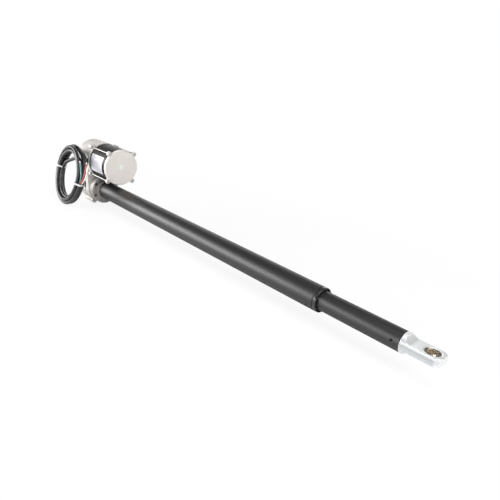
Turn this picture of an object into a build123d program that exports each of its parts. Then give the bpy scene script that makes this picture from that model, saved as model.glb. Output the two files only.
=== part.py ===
"""Electric linear actuator: a geared motor beside a telescopic screw tube.

Millimetres, +X along the tube towards the rod end, +Z up towards the motor.
Places along X are stations measured from the front parting face of the gear housing.
The origin is on the tube's axis at station 30, where the tube leaves the flange's nose.
"""
from math import acos, asin, atan2, cos, degrees, hypot, pi, radians, sin, tan
import os

from build123d import *

os.makedirs("parts", exist_ok=True)

# Fits: gap of a seat, of a running fit, between turning faces, round heads and bolt holes
seat_gap = 0.02
running_gap = 0.06
side_gap = 0.3
free_gap = 0.4
hole_gap = 0.25

# Gear train: teeth, pressure angle and backlash
pinion_teeth = 12
idler_big_teeth = 34
idler_small_teeth = 14
screw_gear_teeth = 41
pressure_angle = radians(25)
tooth_thinning = 0.12
tip_height = 1.0
root_depth = 1.25
flank_steps = 3

# Tube and motor can, and the gap between them that the gear train spans
tube_radius = 22.5
can_radius = 44.5
motor_gap = 8.75

# Gear housing, its bell round the motor, and the gear chamber
bell_wall = 2.5
chamber_gap = 1.75
housing_wall = 4.0
cover_face = -44.0
cover_depth = 18.0
lobe_depth = 13.0
cover_floor_wall = 4.0
cover_round = 11.0
lobe_round = 12.0
gasket_thickness = 0.8
web_back = -10.0
bell_front = 12.0
bell_socket_depth = 6.0
bearing_boss_wall = 5.0
web_bore = 15.0
pin_boss_height = 2.2
pin_seat_depth = 6.0
screw_boss_radius = 5.2
screw_boss_inset = 7.5
waist_boss_height = 28.5

# Motor: can, end cap, through bolts
can_wall = 3.0
cap_rim = 0.5
cap_front = 96.8
cap_thickness = 6.4
cap_edge_round = 1.2
cap_spigot = 4.0
bolt_offset = 4.5
ear_radius = 6.0
ear_length = 14.0
ear_front = 8.0
ear_start_angle = 45.0
bolt_reach = 9.0
through_bolt_radius = 2.5
bolt_head_radius = 4.4
bolt_head_height = 2.6
bolt_head_recess = 0.8
centre_boss_radius = 5.5
centre_boss_height = 0.6
cap_wall = 4.0
spigot_wall = 3.0
bolt_hex_radius = 2.3
hex_depth = 1.8

# Label plate on the can
label_start = 18.0
label_end = 86.5
label_low_angle = 146.0
label_high_angle = 214.0
label_thickness = 0.3
label_gap = 0.12

# Motor inside
motor_shaft_radius = 5.0
motor_shaft_start = -26.0
shaft_end_gap = 1.0
core_start = 16.0
core_end = 58.0
air_gap = 1.0
winding_inset = 2.0
slot_overrun = 2.0
core_slots = 12
slot_width = 4.0
slot_depth = 9.0
winding_reach = 6.0
winding_inner = 16.0
winding_gap = 0.15
magnet_reach = 2.0
magnet_thickness = 8.5
magnet_angle = 140.0
commutator_start = 64.2
commutator_length = 10.0
commutator_radius = 12.0
commutator_bars = 12
bar_gap_width = 0.6
bar_gap_depth = 0.8
brush_width = 7.0
brush_height = 8.0
brush_length = 18.0
brush_box_wall = 1.2
brush_box_inset = 2.0
brush_plate_thickness = 2.0
brush_plate_lap = 0.2
brush_gap = 0.1
small_bearing_outer = 13.0
small_bearing_width = 8.0
shield_recess = 0.6

# Screw and its bearings
screw_radius = 10.0
screw_end = 700.0
screw_shoulder_radius = 12.0
screw_shoulder_length = 4.0
screw_journal_radius = 8.5
gear_seat_radius = 7.5
rear_journal_radius = 6.0
front_bearing_outer = 20.0
front_bearing_width = 12.0
rear_bearing_outer = 14.0
rear_bearing_width = 8.0
rear_spacer_wall = 2.5
screw_gear_start = -42.0
screw_gear_width = 14.0
spacer_radius = 11.0
gear_dish = 3.5
gear_rim = 6.0
gear_hub_wall = 3.0
gear_hole_radius = 3.6
gear_hole_circle = 19.5
gear_holes = 6
key_width = 5.0
key_height = 5.0
key_length = 12.0
stop_radius = 13.0
stop_length = 4.0
stop_head_radius = 6.5
stop_head_height = 4.0

# Idler and pinion places along the screw
pinion_start = -25.0
pinion_width = 12.0
idler_big_start = -24.0
idler_big_width = 10.0
idler_small_start = -43.0
idler_pin_radius = 5.0
idler_bush_wall = 1.5
idler_bush_length = 8.0
idler_bush_flange = 1.5
idler_bush_flange_radius = 8.4

# Tube flange in front of the gear housing
flange_step = 1.0
flange_face = 22.0
nose_radius = 26.0
nose_height = 8.0
flange_edge = 1.2
flange_screw_inset = 6.0
flange_screw_angle = 28.5
cap_screw_radius = 2.5
cap_screw_head_radius = 4.2
cap_screw_head_height = 5.0
cap_screw_reach = 9.0
cap_screw_hex_radius = 2.3
cap_screw_recess = 1.0
cap_screw_hex_depth = 3.0

# Cover screws: on lugs at the foot, and inside the outline elsewhere
lug_y = 15.0
lug_z = -37.5
lug_radius = 6.2
lug_front = -7.0
cover_screw_length = 16.0
cover_lug_height = 6.0
thread_hole_depth = 14.0
pan_head_radius = 4.5
pan_head_height = 2.8
pan_hex_radius = 1.8
pan_hex_depth = 1.6

# Outer tube, collar, bush and seal
tube_wall = 3.0
tube_spigot_cut = 1.0
tube_end = 761.0
tube_edge = 0.5
collar_length = 8.0
collar_spigot = 20.0
collar_opening = 20.3
collar_throat = 19.5
collar_bore = 18.0
collar_seat = 2.0
collar_edge = 0.8
collar_drop = 0.05
collar_slot_width = 5.0
collar_slot_depth = 3.0
collar_slots = 4
collar_slot_turn = 65.0
bush_length = 45.0
seal_length = 4.0
seal_lip_gap = 0.12
lock_screw_back = 12.0
lock_screw_x = tube_end - lock_screw_back
lock_screw_angle = 211.5
lock_screw_radius = 2.0
lock_screw_sunk = 0.4
lock_hex_radius = 1.2
lock_hex_depth = 1.5

# Inner tube, nut and rod end
inner_radius = 17.5
inner_wall = 3.0
inner_start = 215.0
inner_end = 920.0
nut_length = 45.0
nut_land = 12.0
nut_gap = 0.1
ring_depth = 1.5
rod_shank_length = 30.0
shoulder_length = 6.0
cutter_radius = 10.5
flat_half = 7.0
eye_x = 964.0
rod_tip = 982.0
tip_chamfer_length = 7.0
tip_chamfer_depth = 5.0
pin_radius = 2.5
pin_x = 908.0
pin_angles = (55.0, 175.0, 295.0)
pin_sunk = 0.6
pin_depth = 10.0
tip_round = 2.0

# Spherical bearing in the rod's eye
eye_bore = 6.35
race_outer = 12.7
race_width = 9.9
ball_radius = 9.92
ball_width = 12.7
clip_width = 1.4
clip_outer = 13.4
clip_inner = 11.9
clip_opening = 4.0
race_lead = 0.8
mouth_radius = 14.0

# Cable, its angled gland on the bell's flank, and its coil
cable_radius = 4.5
gland_radius = 5.5
gland_nut_radius = 6.0
gland_nut_length = 4.0
gland_nut_round = 1.5
gland_length = 20.6
gland_plug_radius = 2.8
gland_plug_station = 9.0
coil_radius = 67.0
bundle_radius = 12.5
coil_lean = 9.0
coil_yaw = 4.0
tie_width = 4.5
tie_thickness = 1.3
tie_gap = 0.15
tie_head = 5.0
tie_places = {"upper": 171.5, "lower": -8.0}
wire_radius = 1.7

# Places beside the bell: station, distance out from its flank, height over the motor's axis
lead_places = [(4.6, 8.6, 7.0), (-6.0, 11.2, 20.3), (-21.0, 18.5, 29.3)]
coil_place = (-22.0, 33.0, -43.2)

# Wires, from the coil's centre
wire_places = {
    "teal": [(71.5, -8.0, -8.2), (80.5, -9.5, 3.5), (80.5, -8.5, 20.5), (70.0, -7.0, 35.0)],
    "red": [(75.5, -8.5, -8.5), (83.0, -6.5, 3.5), (90.0, -3.5, 19.5), (88.0, 0.5, 36.5)],
    "white": [(75.5, -5.0, -8.5), (85.5, -3.5, 1.5), (93.5, -0.5, 18.5), (91.5, 3.5, 35.5)],
    "black": [(72.0, -5.0, -8.5), (81.0, 0.5, -0.5), (89.5, 1.5, 1.0), (92.0, -0.5, -9.5)],
}

# Gear train worked out from the gap that it spans
motor_height = tube_radius + motor_gap + can_radius
teeth_in_line = idler_small_teeth + screw_gear_teeth + pinion_teeth + idler_big_teeth
gear_module = 2 * motor_height / teeth_in_line
idler_height = (idler_small_teeth + screw_gear_teeth) * gear_module / 2
screw_gear_tip = (screw_gear_teeth / 2 + tip_height) * gear_module

# Outlines worked out from the can and the largest gear
bell_radius = can_radius + bell_wall
cap_radius = can_radius + cap_rim
ear_circle = can_radius + bolt_offset
lobe_radius = screw_gear_tip + chamber_gap + housing_wall
flange_radius = lobe_radius - flange_step
flange_screw_circle = flange_radius - flange_screw_inset
side_turn = asin((bell_radius - lobe_radius) / motor_height)

# Stations worked out from the sizes above
datum = flange_face + nose_height
housing_back = cover_face + gasket_thickness
can_back = bell_front - bell_socket_depth
cap_back = cap_front - cap_thickness
cover_back = cover_face - cover_depth
lug_back = cover_face - cover_lug_height
lobe_back = cover_face - lobe_depth
cover_floor = lobe_back + cover_floor_wall
rear_bearing_start = cover_floor + 1
rear_bearing_end = rear_bearing_start + rear_bearing_width
idler_boss_end = idler_small_start - idler_bush_flange - free_gap
idler_big_end = idler_big_start + idler_big_width
flange_back = gasket_thickness
front_bearing_end = flange_back + front_bearing_width
screw_gear_end = screw_gear_start + screw_gear_width
cap_screw_seat = flange_face - cap_screw_head_height - cap_screw_recess
motor_front_bearing_start = cap_front - cap_wall - small_bearing_width
motor_shaft_end = cap_front - cap_wall - shaft_end_gap
brush_plate_start = commutator_start + commutator_length - brush_plate_lap
brush_start = commutator_start + (commutator_length - brush_width) / 2
collar_end = tube_end + collar_length
collar_start = tube_end - collar_spigot
bush_end = collar_start - seat_gap
nut_start = inner_start - nut_length
cutter_x = inner_end + shoulder_length + cutter_radius

# Radii worked out from the sizes above
can_bore = can_radius - can_wall
magnet_bore = can_bore - magnet_thickness
core_radius = magnet_bore - air_gap
slot_middle = core_radius - slot_depth / 2
idler_bush_bore = idler_pin_radius + running_gap
idler_gear_bore = idler_bush_bore + idler_bush_wall + seat_gap
socket_radius = tube_radius - tube_spigot_cut
tube_bore = tube_radius - tube_wall
nut_radius = tube_bore - nut_gap
ring_bottom = nut_radius - ring_depth
inner_bore = inner_radius - inner_wall
shank_radius = inner_bore - seat_gap


def across(station, height=0.0):
    """Plane square to the tube at a station, its own x along +Y and its own y along +Z."""
    return Plane(origin=(station - datum, 0, height), x_dir=(0, 1, 0), z_dir=(1, 0, 0))


def along(height=0.0):
    """Plane through an axis at this height: its own x is the station, its own y is +Z."""
    return Plane(origin=(-datum, 0, height), x_dir=(1, 0, 0), z_dir=(0, -1, 0))


def level(height=0.0):
    """Level plane at this height: its own x is the station, its own y is +Y."""
    return Plane(origin=(-datum, 0, height), x_dir=(1, 0, 0), z_dir=(0, 0, 1))


def outward(station, angle, radius):
    """Plane square to a radius of the tube, at this angle from +Y towards +Z."""
    y = cos(radians(angle))
    z = sin(radians(angle))
    origin = (station - datum, radius * y, radius * z)
    return Plane(origin=origin, x_dir=(1, 0, 0), z_dir=(0, y, z))


def beside_bell(station, out, up):
    """Place beside the bell, out from its flank towards -Y and up from the motor's axis."""
    return (station - datum, -bell_radius - out, motor_height + up)


def shaft_axis(height=0.0):
    """Axis along +X at this height."""
    return Axis((0, 0, height), (1, 0, 0))


def save(piece, node):
    """Label a finished piece and write its STEP file."""
    piece.part.label = node
    export_step(piece.part, f"parts/{node}.step")


def lobe_outline(bell, lobe, extra=0.0):
    """Hull of the bell's circle and the lower lobe's circle, in the current sketch."""
    with Locations((0, motor_height)):
        Circle(bell + extra)
    Circle(lobe + extra)
    make_hull()


def ring(outer, inner, mode=Mode.ADD):
    """Ring in the current sketch."""
    Circle(outer, mode=mode)
    Circle(inner, mode=Mode.SUBTRACT)


def ring_sector(outer, inner, middle, spread):
    """Part of a ring about a middle angle, in the current sketch."""
    corners = [(0, 0)]
    for angle in (middle - spread / 2, middle, middle + spread / 2):
        corners.append((3 * outer * cos(radians(angle)), 3 * outer * sin(radians(angle))))
    ring(outer, inner)
    Polygon(*corners, align=None, mode=Mode.INTERSECT)


def bearing_section(start, inner, outer, width):
    """Half section of a shielded ball bearing from its start, in the current sketch."""
    third = (outer - inner) / 3
    with Locations((start + width / 2, (inner + outer) / 2)):
        Rectangle(width, outer - inner)
        Rectangle(2 * width, third, mode=Mode.SUBTRACT)
        Rectangle(width - 2 * shield_recess, third)


def involute(radius, base):
    """Angle by which an involute has turned at this radius."""
    angle = acos(min(1.0, base / radius))
    return tan(angle) - angle


def tooth_outline(teeth, first_tooth):
    """Corner points of a spur gear with one tooth centred on the angle first_tooth."""
    pitch = teeth * gear_module / 2
    base = pitch * cos(pressure_angle)
    tip = pitch + tip_height * gear_module
    root = pitch - root_depth * gear_module
    start = max(base, root)
    half_tooth = pi / (2 * teeth) - tooth_thinning / (2 * pitch)
    at_base = half_tooth + involute(pitch, base)
    flank = [(root, at_base - involute(start, base) + 0.25 * (pi / teeth - at_base))]
    for step in range(flank_steps + 1):
        radius = start + (tip - start) * step / flank_steps
        flank.append((radius, at_base - involute(radius, base)))
    points = []
    for tooth in range(teeth):
        centre = radians(first_tooth) + 2 * pi * tooth / teeth
        for radius, angle in flank:
            points.append((radius * cos(centre - angle), radius * sin(centre - angle)))
        for radius, angle in reversed(flank):
            points.append((radius * cos(centre + angle), radius * sin(centre + angle)))
    return points


def gear_face(teeth, first_tooth):
    """Face of a spur gear, in the current sketch."""
    Polygon(*tooth_outline(teeth, first_tooth), align=None)


def run_radii(points):
    """Arc radius at each inner point of a route: 0.45 of the shorter run over the tangent."""
    corners = [Vector(point) for point in points]
    radii = []
    for before, corner, after in zip(corners, corners[1:], corners[2:]):
        into = corner - before
        out = after - corner
        turn = radians(into.get_angle(out))
        radii.append(0.45 * min(into.length, out.length) / tan(turn / 2))
    return radii


ear_places = dict(radius=ear_circle, count=4, start_angle=ear_start_angle)
ear_roots = dict(radius=ear_circle - ear_radius, count=4, start_angle=ear_start_angle)
flange_screw_places = []
for side in (0, 180):
    for tilt in (-flange_screw_angle, flange_screw_angle):
        turn = radians(side + tilt)
        flange_screw_places.append((flange_screw_circle * cos(turn), flange_screw_circle * sin(turn)))
lug_places = [(lug_y, lug_z), (-lug_y, lug_z)]
shoulder_boss_y = bell_radius - screw_boss_inset
waist_reach = lobe_radius - screw_boss_inset
waist_y = waist_reach * cos(side_turn) + waist_boss_height * sin(side_turn)
waist_z = waist_boss_height * cos(side_turn) - waist_reach * sin(side_turn)
inner_boss_places = [
    (waist_y, waist_z),
    (-waist_y, waist_z),
    (shoulder_boss_y, motor_height),
    (-shoulder_boss_y, motor_height),
    (0, motor_height + shoulder_boss_y),
]
cover_screw_places = lug_places + inner_boss_places

# Line of the cable and its gland, and the plane where the gland's plug ends just clear of the can
lead_route = [Vector(*beside_bell(*place)) for place in lead_places]
gland_line = (lead_route[1] - lead_route[0]).normalized()
gland_low = lead_route[0] - gland_line * gland_length
plug_back = (gland_plug_station - datum - lead_route[0].X) / gland_line.X
plug_centre = lead_route[0] + gland_line * plug_back
plug_rise = plug_centre.Z - motor_height
plug_angle = degrees(atan2(plug_rise, plug_centre.Y))
plug_length = hypot(plug_rise, plug_centre.Y) - can_radius - side_gap
gland_plug_plane = outward(gland_plug_station, plug_angle, can_radius + side_gap)
gland_plug_plane.origin += Vector(0, 0, motor_height)

# Gear housing: bell, lower lobe, ears, chamber and bearing web in one casting
with BuildPart() as gear_housing:
    with BuildSketch(across(housing_back)):
        lobe_outline(bell_radius, lobe_radius)
    extrude(amount=-housing_back)
    with BuildSketch(across(housing_back)):
        with Locations(*lug_places):
            Circle(lug_radius)
    extrude(amount=lug_front - housing_back)
    with BuildSketch(across(0, motor_height)):
        Circle(bell_radius)
    extrude(amount=bell_front)
    with BuildSketch(across(ear_front, motor_height)):
        with PolarLocations(**ear_roots):
            SlotCenterToCenter(2 * ear_radius, 2 * ear_radius)
    extrude(amount=-ear_length)
    with BuildSketch(across(housing_back)):
        lobe_outline(bell_radius, lobe_radius, -housing_wall)
    extrude(amount=web_back - housing_back, mode=Mode.SUBTRACT)
    with BuildSketch(across(housing_back)):
        with Locations(*inner_boss_places):
            Circle(screw_boss_radius)
    extrude(amount=web_back - housing_back)
    with BuildSketch(across(web_back, idler_height)):
        Circle(idler_pin_radius + bearing_boss_wall)
    extrude(amount=-pin_boss_height)
    with BuildSketch(across(0, motor_height)):
        Circle(can_bore)
    extrude(amount=bell_front, mode=Mode.SUBTRACT)
    with BuildSketch(across(can_back, motor_height)):
        Circle(can_radius + seat_gap)
    extrude(amount=bell_socket_depth, mode=Mode.SUBTRACT)
    with BuildSketch(across(web_back + small_bearing_width, motor_height)):
        ring(can_bore, small_bearing_outer + bearing_boss_wall)
    extrude(amount=-web_back - small_bearing_width, mode=Mode.SUBTRACT)
    with BuildSketch(across(web_back, motor_height)):
        Circle(small_bearing_outer + seat_gap)
    extrude(amount=small_bearing_width, mode=Mode.SUBTRACT)
    with BuildSketch(across(web_back, motor_height)):
        Circle(small_bearing_outer - bearing_boss_wall)
    extrude(amount=-web_back, mode=Mode.SUBTRACT)
    with BuildSketch(across(web_back)):
        Circle(web_bore)
    extrude(amount=-web_back, mode=Mode.SUBTRACT)
    with BuildSketch(across(web_back - pin_boss_height, idler_height)):
        Circle(idler_pin_radius + seat_gap)
    extrude(amount=pin_boss_height + pin_seat_depth, mode=Mode.SUBTRACT)
    with BuildSketch(across(bell_front, motor_height)):
        with PolarLocations(**ear_places):
            Circle(through_bolt_radius + seat_gap)
    extrude(amount=ear_front - bell_front - bolt_reach, mode=Mode.SUBTRACT)
    with BuildSketch(across(0)):
        with Locations(*flange_screw_places):
            Circle(cap_screw_radius + seat_gap)
    extrude(amount=-cap_screw_reach, mode=Mode.SUBTRACT)
    with BuildSketch(across(housing_back)):
        with Locations(*cover_screw_places):
            Circle(cap_screw_radius + seat_gap)
    extrude(amount=thread_hole_depth, mode=Mode.SUBTRACT)
    with BuildSketch(gland_plug_plane):
        Circle(gland_plug_radius + seat_gap)
    extrude(amount=bell_wall, mode=Mode.SUBTRACT)
save(gear_housing, "gear_housing")

# Rear cover: a shallow dished lid with seats for the screw's rear bearing and the idler pin
with BuildPart() as rear_cover:
    with BuildSketch(across(cover_back, motor_height)):
        Circle(bell_radius)
    extrude(amount=cover_depth)
    fillet(rear_cover.faces().sort_by(Axis.X)[0].edges(), radius=cover_round)
    with BuildPart(mode=Mode.PRIVATE) as lobe_lid:
        with BuildSketch(across(lobe_back)):
            lobe_outline(bell_radius, lobe_radius)
        extrude(amount=lobe_depth)
        fillet(lobe_lid.faces().sort_by(Axis.X)[0].edges(), radius=lobe_round)
    add(lobe_lid.part)
    with BuildSketch(across(lug_back)):
        with Locations(*lug_places):
            Circle(lug_radius)
    extrude(amount=cover_lug_height)
    with BuildSketch(across(cover_face)):
        lobe_outline(bell_radius, lobe_radius, -lobe_round)
    extrude(amount=cover_floor - cover_face, mode=Mode.SUBTRACT)
    with BuildSketch(across(cover_floor)):
        Circle(rear_bearing_outer + bearing_boss_wall)
        with Locations(*inner_boss_places):
            Circle(screw_boss_radius)
    extrude(amount=cover_face - cover_floor)
    with BuildSketch(across(cover_floor, idler_height)):
        Circle(idler_pin_radius + bearing_boss_wall - 1)
    extrude(amount=idler_boss_end - cover_floor)
    with BuildSketch(across(rear_bearing_start)):
        Circle(rear_bearing_outer + seat_gap)
    extrude(amount=cover_face - cover_floor, mode=Mode.SUBTRACT)
    with BuildSketch(across(rear_bearing_start, idler_height)):
        Circle(idler_pin_radius + seat_gap)
    extrude(amount=cover_depth, mode=Mode.SUBTRACT)
    with BuildSketch(across(lug_back)):
        with Locations(*cover_screw_places):
            Circle(cap_screw_radius + hole_gap)
    extrude(amount=cover_lug_height, mode=Mode.SUBTRACT)
    with BuildSketch(across(lug_back)):
        with Locations(*cover_screw_places):
            Circle(pan_head_radius + free_gap)
    extrude(amount=cover_back - lug_back, mode=Mode.SUBTRACT)
save(rear_cover, "rear_cover")

with BuildPart() as cover_gasket:
    with BuildSketch(across(cover_face)):
        lobe_outline(bell_radius, lobe_radius)
        with Locations(*lug_places):
            Circle(lug_radius)
    extrude(amount=gasket_thickness)
    with BuildSketch(across(cover_face)):
        lobe_outline(bell_radius, lobe_radius, -housing_wall)
    extrude(amount=gasket_thickness, mode=Mode.SUBTRACT)
    with BuildSketch(across(cover_face)):
        with Locations(*cover_screw_places):
            Circle(cap_screw_radius + hole_gap)
    extrude(amount=gasket_thickness, mode=Mode.SUBTRACT)
save(cover_gasket, "cover_gasket")

with BuildPart() as cover_screws:
    with BuildSketch(across(lug_back)):
        with Locations(*cover_screw_places):
            Circle(cap_screw_radius)
    extrude(amount=cover_screw_length)
    with BuildSketch(across(lug_back)):
        with Locations(*cover_screw_places):
            Circle(pan_head_radius)
    extrude(amount=-pan_head_height)
    with BuildSketch(across(lug_back - pan_head_height)):
        with Locations(*cover_screw_places):
            RegularPolygon(radius=pan_hex_radius, side_count=6)
    extrude(amount=pan_hex_depth, mode=Mode.SUBTRACT)
save(cover_screws, "cover_screws")

# Tube flange: holds the outer tube and the screw's front bearing
with BuildPart() as tube_flange:
    with BuildSketch(across(flange_back)):
        Circle(flange_radius)
    extrude(amount=flange_face - flange_back)
    chamfer(tube_flange.faces().sort_by(Axis.X)[-1].edges(), length=flange_edge)
    with BuildSketch(across(flange_face)):
        Circle(nose_radius)
    extrude(amount=nose_height)
    with BuildSketch(across(flange_back)):
        Circle(front_bearing_outer + seat_gap)
    extrude(amount=front_bearing_width, mode=Mode.SUBTRACT)
    with BuildSketch(across(front_bearing_end)):
        Circle(socket_radius + seat_gap)
    extrude(amount=datum - front_bearing_end, mode=Mode.SUBTRACT)
    with BuildSketch(across(flange_back)):
        with Locations(*flange_screw_places):
            Circle(cap_screw_radius + hole_gap)
    extrude(amount=flange_face, mode=Mode.SUBTRACT)
    with BuildSketch(across(cap_screw_seat)):
        with Locations(*flange_screw_places):
            Circle(cap_screw_head_radius + free_gap)
    extrude(amount=flange_face - cap_screw_seat, mode=Mode.SUBTRACT)
    with BuildSketch(across(flange_back, motor_height)):
        Circle(bell_radius + free_gap)
    extrude(amount=datum, mode=Mode.SUBTRACT)
save(tube_flange, "tube_flange")

with BuildPart() as flange_gasket:
    with BuildSketch(across(0)):
        ring(flange_radius, front_bearing_outer)
        with Locations(*flange_screw_places):
            Circle(cap_screw_radius + hole_gap, mode=Mode.SUBTRACT)
        with Locations((0, motor_height)):
            Circle(bell_radius + free_gap, mode=Mode.SUBTRACT)
    extrude(amount=gasket_thickness)
save(flange_gasket, "flange_gasket")

with BuildPart() as flange_screws:
    with BuildSketch(across(cap_screw_seat)):
        with Locations(*flange_screw_places):
            Circle(cap_screw_head_radius)
    extrude(amount=cap_screw_head_height)
    with BuildSketch(across(cap_screw_seat)):
        with Locations(*flange_screw_places):
            Circle(cap_screw_radius)
    extrude(amount=side_gap - cap_screw_seat - cap_screw_reach)
    with BuildSketch(across(flange_face - cap_screw_recess)):
        with Locations(*flange_screw_places):
            RegularPolygon(radius=cap_screw_hex_radius, side_count=6)
    extrude(amount=-cap_screw_hex_depth, mode=Mode.SUBTRACT)
save(flange_screws, "flange_screws")

# Motor can, its end cap and the through bolts that clamp them to the bell
with BuildPart() as motor_can:
    with BuildSketch(across(can_back, motor_height)):
        ring(can_radius, can_bore)
    extrude(amount=cap_back - can_back)
save(motor_can, "motor_can")

with BuildPart() as motor_end_cap:
    with BuildSketch(across(cap_back, motor_height)):
        Circle(cap_radius)
        with PolarLocations(**ear_roots):
            SlotCenterToCenter(2 * ear_radius, 2 * ear_radius)
    extrude(amount=cap_thickness)
    fillet(motor_end_cap.faces().sort_by(Axis.X)[-1].outer_wire().edges(), radius=cap_edge_round)
    with BuildSketch(across(cap_back, motor_height)):
        ring(can_bore - seat_gap, can_bore - spigot_wall)
    extrude(amount=-cap_spigot)
    with BuildSketch(across(cap_back, motor_height)):
        ring(can_bore - spigot_wall, small_bearing_outer + cap_wall)
    extrude(amount=cap_thickness - cap_wall, mode=Mode.SUBTRACT)
    with BuildSketch(across(motor_front_bearing_start, motor_height)):
        Circle(small_bearing_outer + cap_wall)
    extrude(amount=small_bearing_width)
    with BuildSketch(across(motor_front_bearing_start, motor_height)):
        Circle(small_bearing_outer + seat_gap)
    extrude(amount=small_bearing_width, mode=Mode.SUBTRACT)
    with BuildSketch(across(cap_front, motor_height)):
        Circle(centre_boss_radius)
    extrude(amount=centre_boss_height)
    with BuildSketch(across(cap_back, motor_height)):
        with PolarLocations(**ear_places):
            Circle(through_bolt_radius + hole_gap)
    extrude(amount=cap_thickness, mode=Mode.SUBTRACT)
    with BuildSketch(across(cap_front, motor_height)):
        with PolarLocations(**ear_places):
            Circle(bolt_head_radius + hole_gap)
    extrude(amount=-bolt_head_recess, mode=Mode.SUBTRACT)
save(motor_end_cap, "motor_end_cap")

bolt_seat = cap_front - bolt_head_recess
bolt_start = ear_front - bolt_reach + side_gap

with BuildPart() as through_bolts:
    with BuildSketch(across(bolt_start, motor_height)):
        with PolarLocations(**ear_places):
            Circle(through_bolt_radius)
    extrude(amount=bolt_seat - bolt_start)
    with BuildSketch(across(bolt_seat, motor_height)):
        with PolarLocations(**ear_places):
            Circle(bolt_head_radius)
    extrude(amount=bolt_head_height)
    with BuildSketch(across(bolt_seat + bolt_head_height, motor_height)):
        with PolarLocations(**ear_places):
            RegularPolygon(radius=bolt_hex_radius, side_count=6)
    extrude(amount=-hex_depth, mode=Mode.SUBTRACT)
save(through_bolts, "through_bolts")

label_middle = (label_low_angle + label_high_angle) / 2

with BuildPart() as label_plate:
    with BuildSketch(across(label_start, motor_height)):
        ring_sector(
            can_radius + label_gap + label_thickness,
            can_radius + label_gap,
            label_middle,
            label_high_angle - label_low_angle,
        )
    extrude(amount=label_end - label_start)
save(label_plate, "label_plate")

with BuildPart() as stator_magnets:
    for side in (0, 180):
        with BuildSketch(across(core_start - magnet_reach, motor_height)):
            ring_sector(can_bore - seat_gap, magnet_bore, side, magnet_angle)
        extrude(amount=core_end - core_start + 2 * magnet_reach)
save(stator_magnets, "stator_magnets")

# Armature: slotted core, windings, commutator, shaft and pinion
with BuildPart() as armature_core:
    with BuildSketch(across(core_start, motor_height)):
        ring(core_radius, motor_shaft_radius + seat_gap)
        with PolarLocations(slot_middle + slot_overrun / 2, core_slots):
            Rectangle(slot_depth + slot_overrun, slot_width, mode=Mode.SUBTRACT)
    extrude(amount=core_end - core_start)
save(armature_core, "armature_core")

with BuildPart() as armature_windings:
    with BuildSketch(across(core_start - winding_reach, motor_height)):
        with PolarLocations(slot_middle, core_slots):
            Rectangle(slot_depth - 2 * winding_gap, slot_width - 2 * winding_gap)
    extrude(amount=core_end - core_start + 2 * winding_reach)
    for start in (core_start - winding_reach, core_end + winding_gap):
        with BuildSketch(across(start, motor_height)):
            ring(core_radius - winding_inset, winding_inner)
        extrude(amount=winding_reach - winding_gap)
save(armature_windings, "armature_windings")

with BuildPart() as commutator:
    with BuildSketch(across(commutator_start, motor_height)):
        ring(commutator_radius, motor_shaft_radius + seat_gap)
        with PolarLocations(commutator_radius, commutator_bars):
            Rectangle(2 * bar_gap_depth, bar_gap_width, mode=Mode.SUBTRACT)
    extrude(amount=commutator_length)
save(commutator, "commutator")

brush_radii = commutator_radius + side_gap + brush_length / 2

with BuildPart() as carbon_brushes:
    with BuildSketch(across(brush_start, motor_height)):
        with PolarLocations(brush_radii, 2):
            Rectangle(brush_length, brush_height)
    extrude(amount=brush_width)
save(carbon_brushes, "carbon_brushes")

brush_box_start = brush_start - brush_gap - brush_box_wall
brush_opening = brush_height + 2 * brush_gap

with BuildPart() as brush_holder:
    with BuildSketch(across(brush_plate_start, motor_height)):
        ring(can_bore - brush_gap, commutator_radius + brush_box_wall)
    extrude(amount=brush_plate_thickness)
    with BuildSketch(across(brush_box_start, motor_height)):
        with PolarLocations(brush_radii + brush_box_inset, 2):
            Rectangle(brush_length - brush_box_inset, brush_opening + 2 * brush_box_wall)
    extrude(amount=brush_plate_start - brush_box_start)
    with BuildSketch(across(brush_start - brush_gap, motor_height)):
        with PolarLocations(brush_radii, 2):
            Rectangle(brush_length + 2 * brush_gap, brush_opening)
    extrude(amount=brush_width + 2 * brush_gap, mode=Mode.SUBTRACT)
save(brush_holder, "brush_holder")

with BuildPart() as motor_shaft:
    with BuildSketch(across(motor_shaft_start, motor_height)):
        Circle(motor_shaft_radius)
    extrude(amount=motor_shaft_end - motor_shaft_start)
    chamfer(motor_shaft.edges().filter_by(GeomType.CIRCLE), length=0.5)
save(motor_shaft, "motor_shaft")

with BuildPart() as motor_pinion:
    with BuildSketch(across(pinion_start, motor_height)):
        gear_face(pinion_teeth, -90)
        Circle(motor_shaft_radius + seat_gap, mode=Mode.SUBTRACT)
    extrude(amount=pinion_width)
save(motor_pinion, "motor_pinion")

shaft_bearing = (motor_shaft_radius + running_gap, small_bearing_outer, small_bearing_width)

with BuildPart() as motor_rear_bearing:
    with BuildSketch(along(motor_height)):
        bearing_section(web_back, *shaft_bearing)
    revolve(axis=shaft_axis(motor_height))
save(motor_rear_bearing, "motor_rear_bearing")

with BuildPart() as motor_front_bearing:
    with BuildSketch(along(motor_height)):
        bearing_section(motor_front_bearing_start, *shaft_bearing)
    revolve(axis=shaft_axis(motor_height))
save(motor_front_bearing, "motor_front_bearing")

# Idler: a pin fixed at both ends, and a double gear on two flanged bushes
idler_pin_start = rear_bearing_start + side_gap
idler_pin_end = web_back + pin_seat_depth - side_gap

with BuildPart() as idler_pin:
    with BuildSketch(across(idler_pin_start, idler_height)):
        Circle(idler_pin_radius)
    extrude(amount=idler_pin_end - idler_pin_start)
    chamfer(idler_pin.edges().filter_by(GeomType.CIRCLE), length=0.5)
save(idler_pin, "idler_pin")

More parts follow.
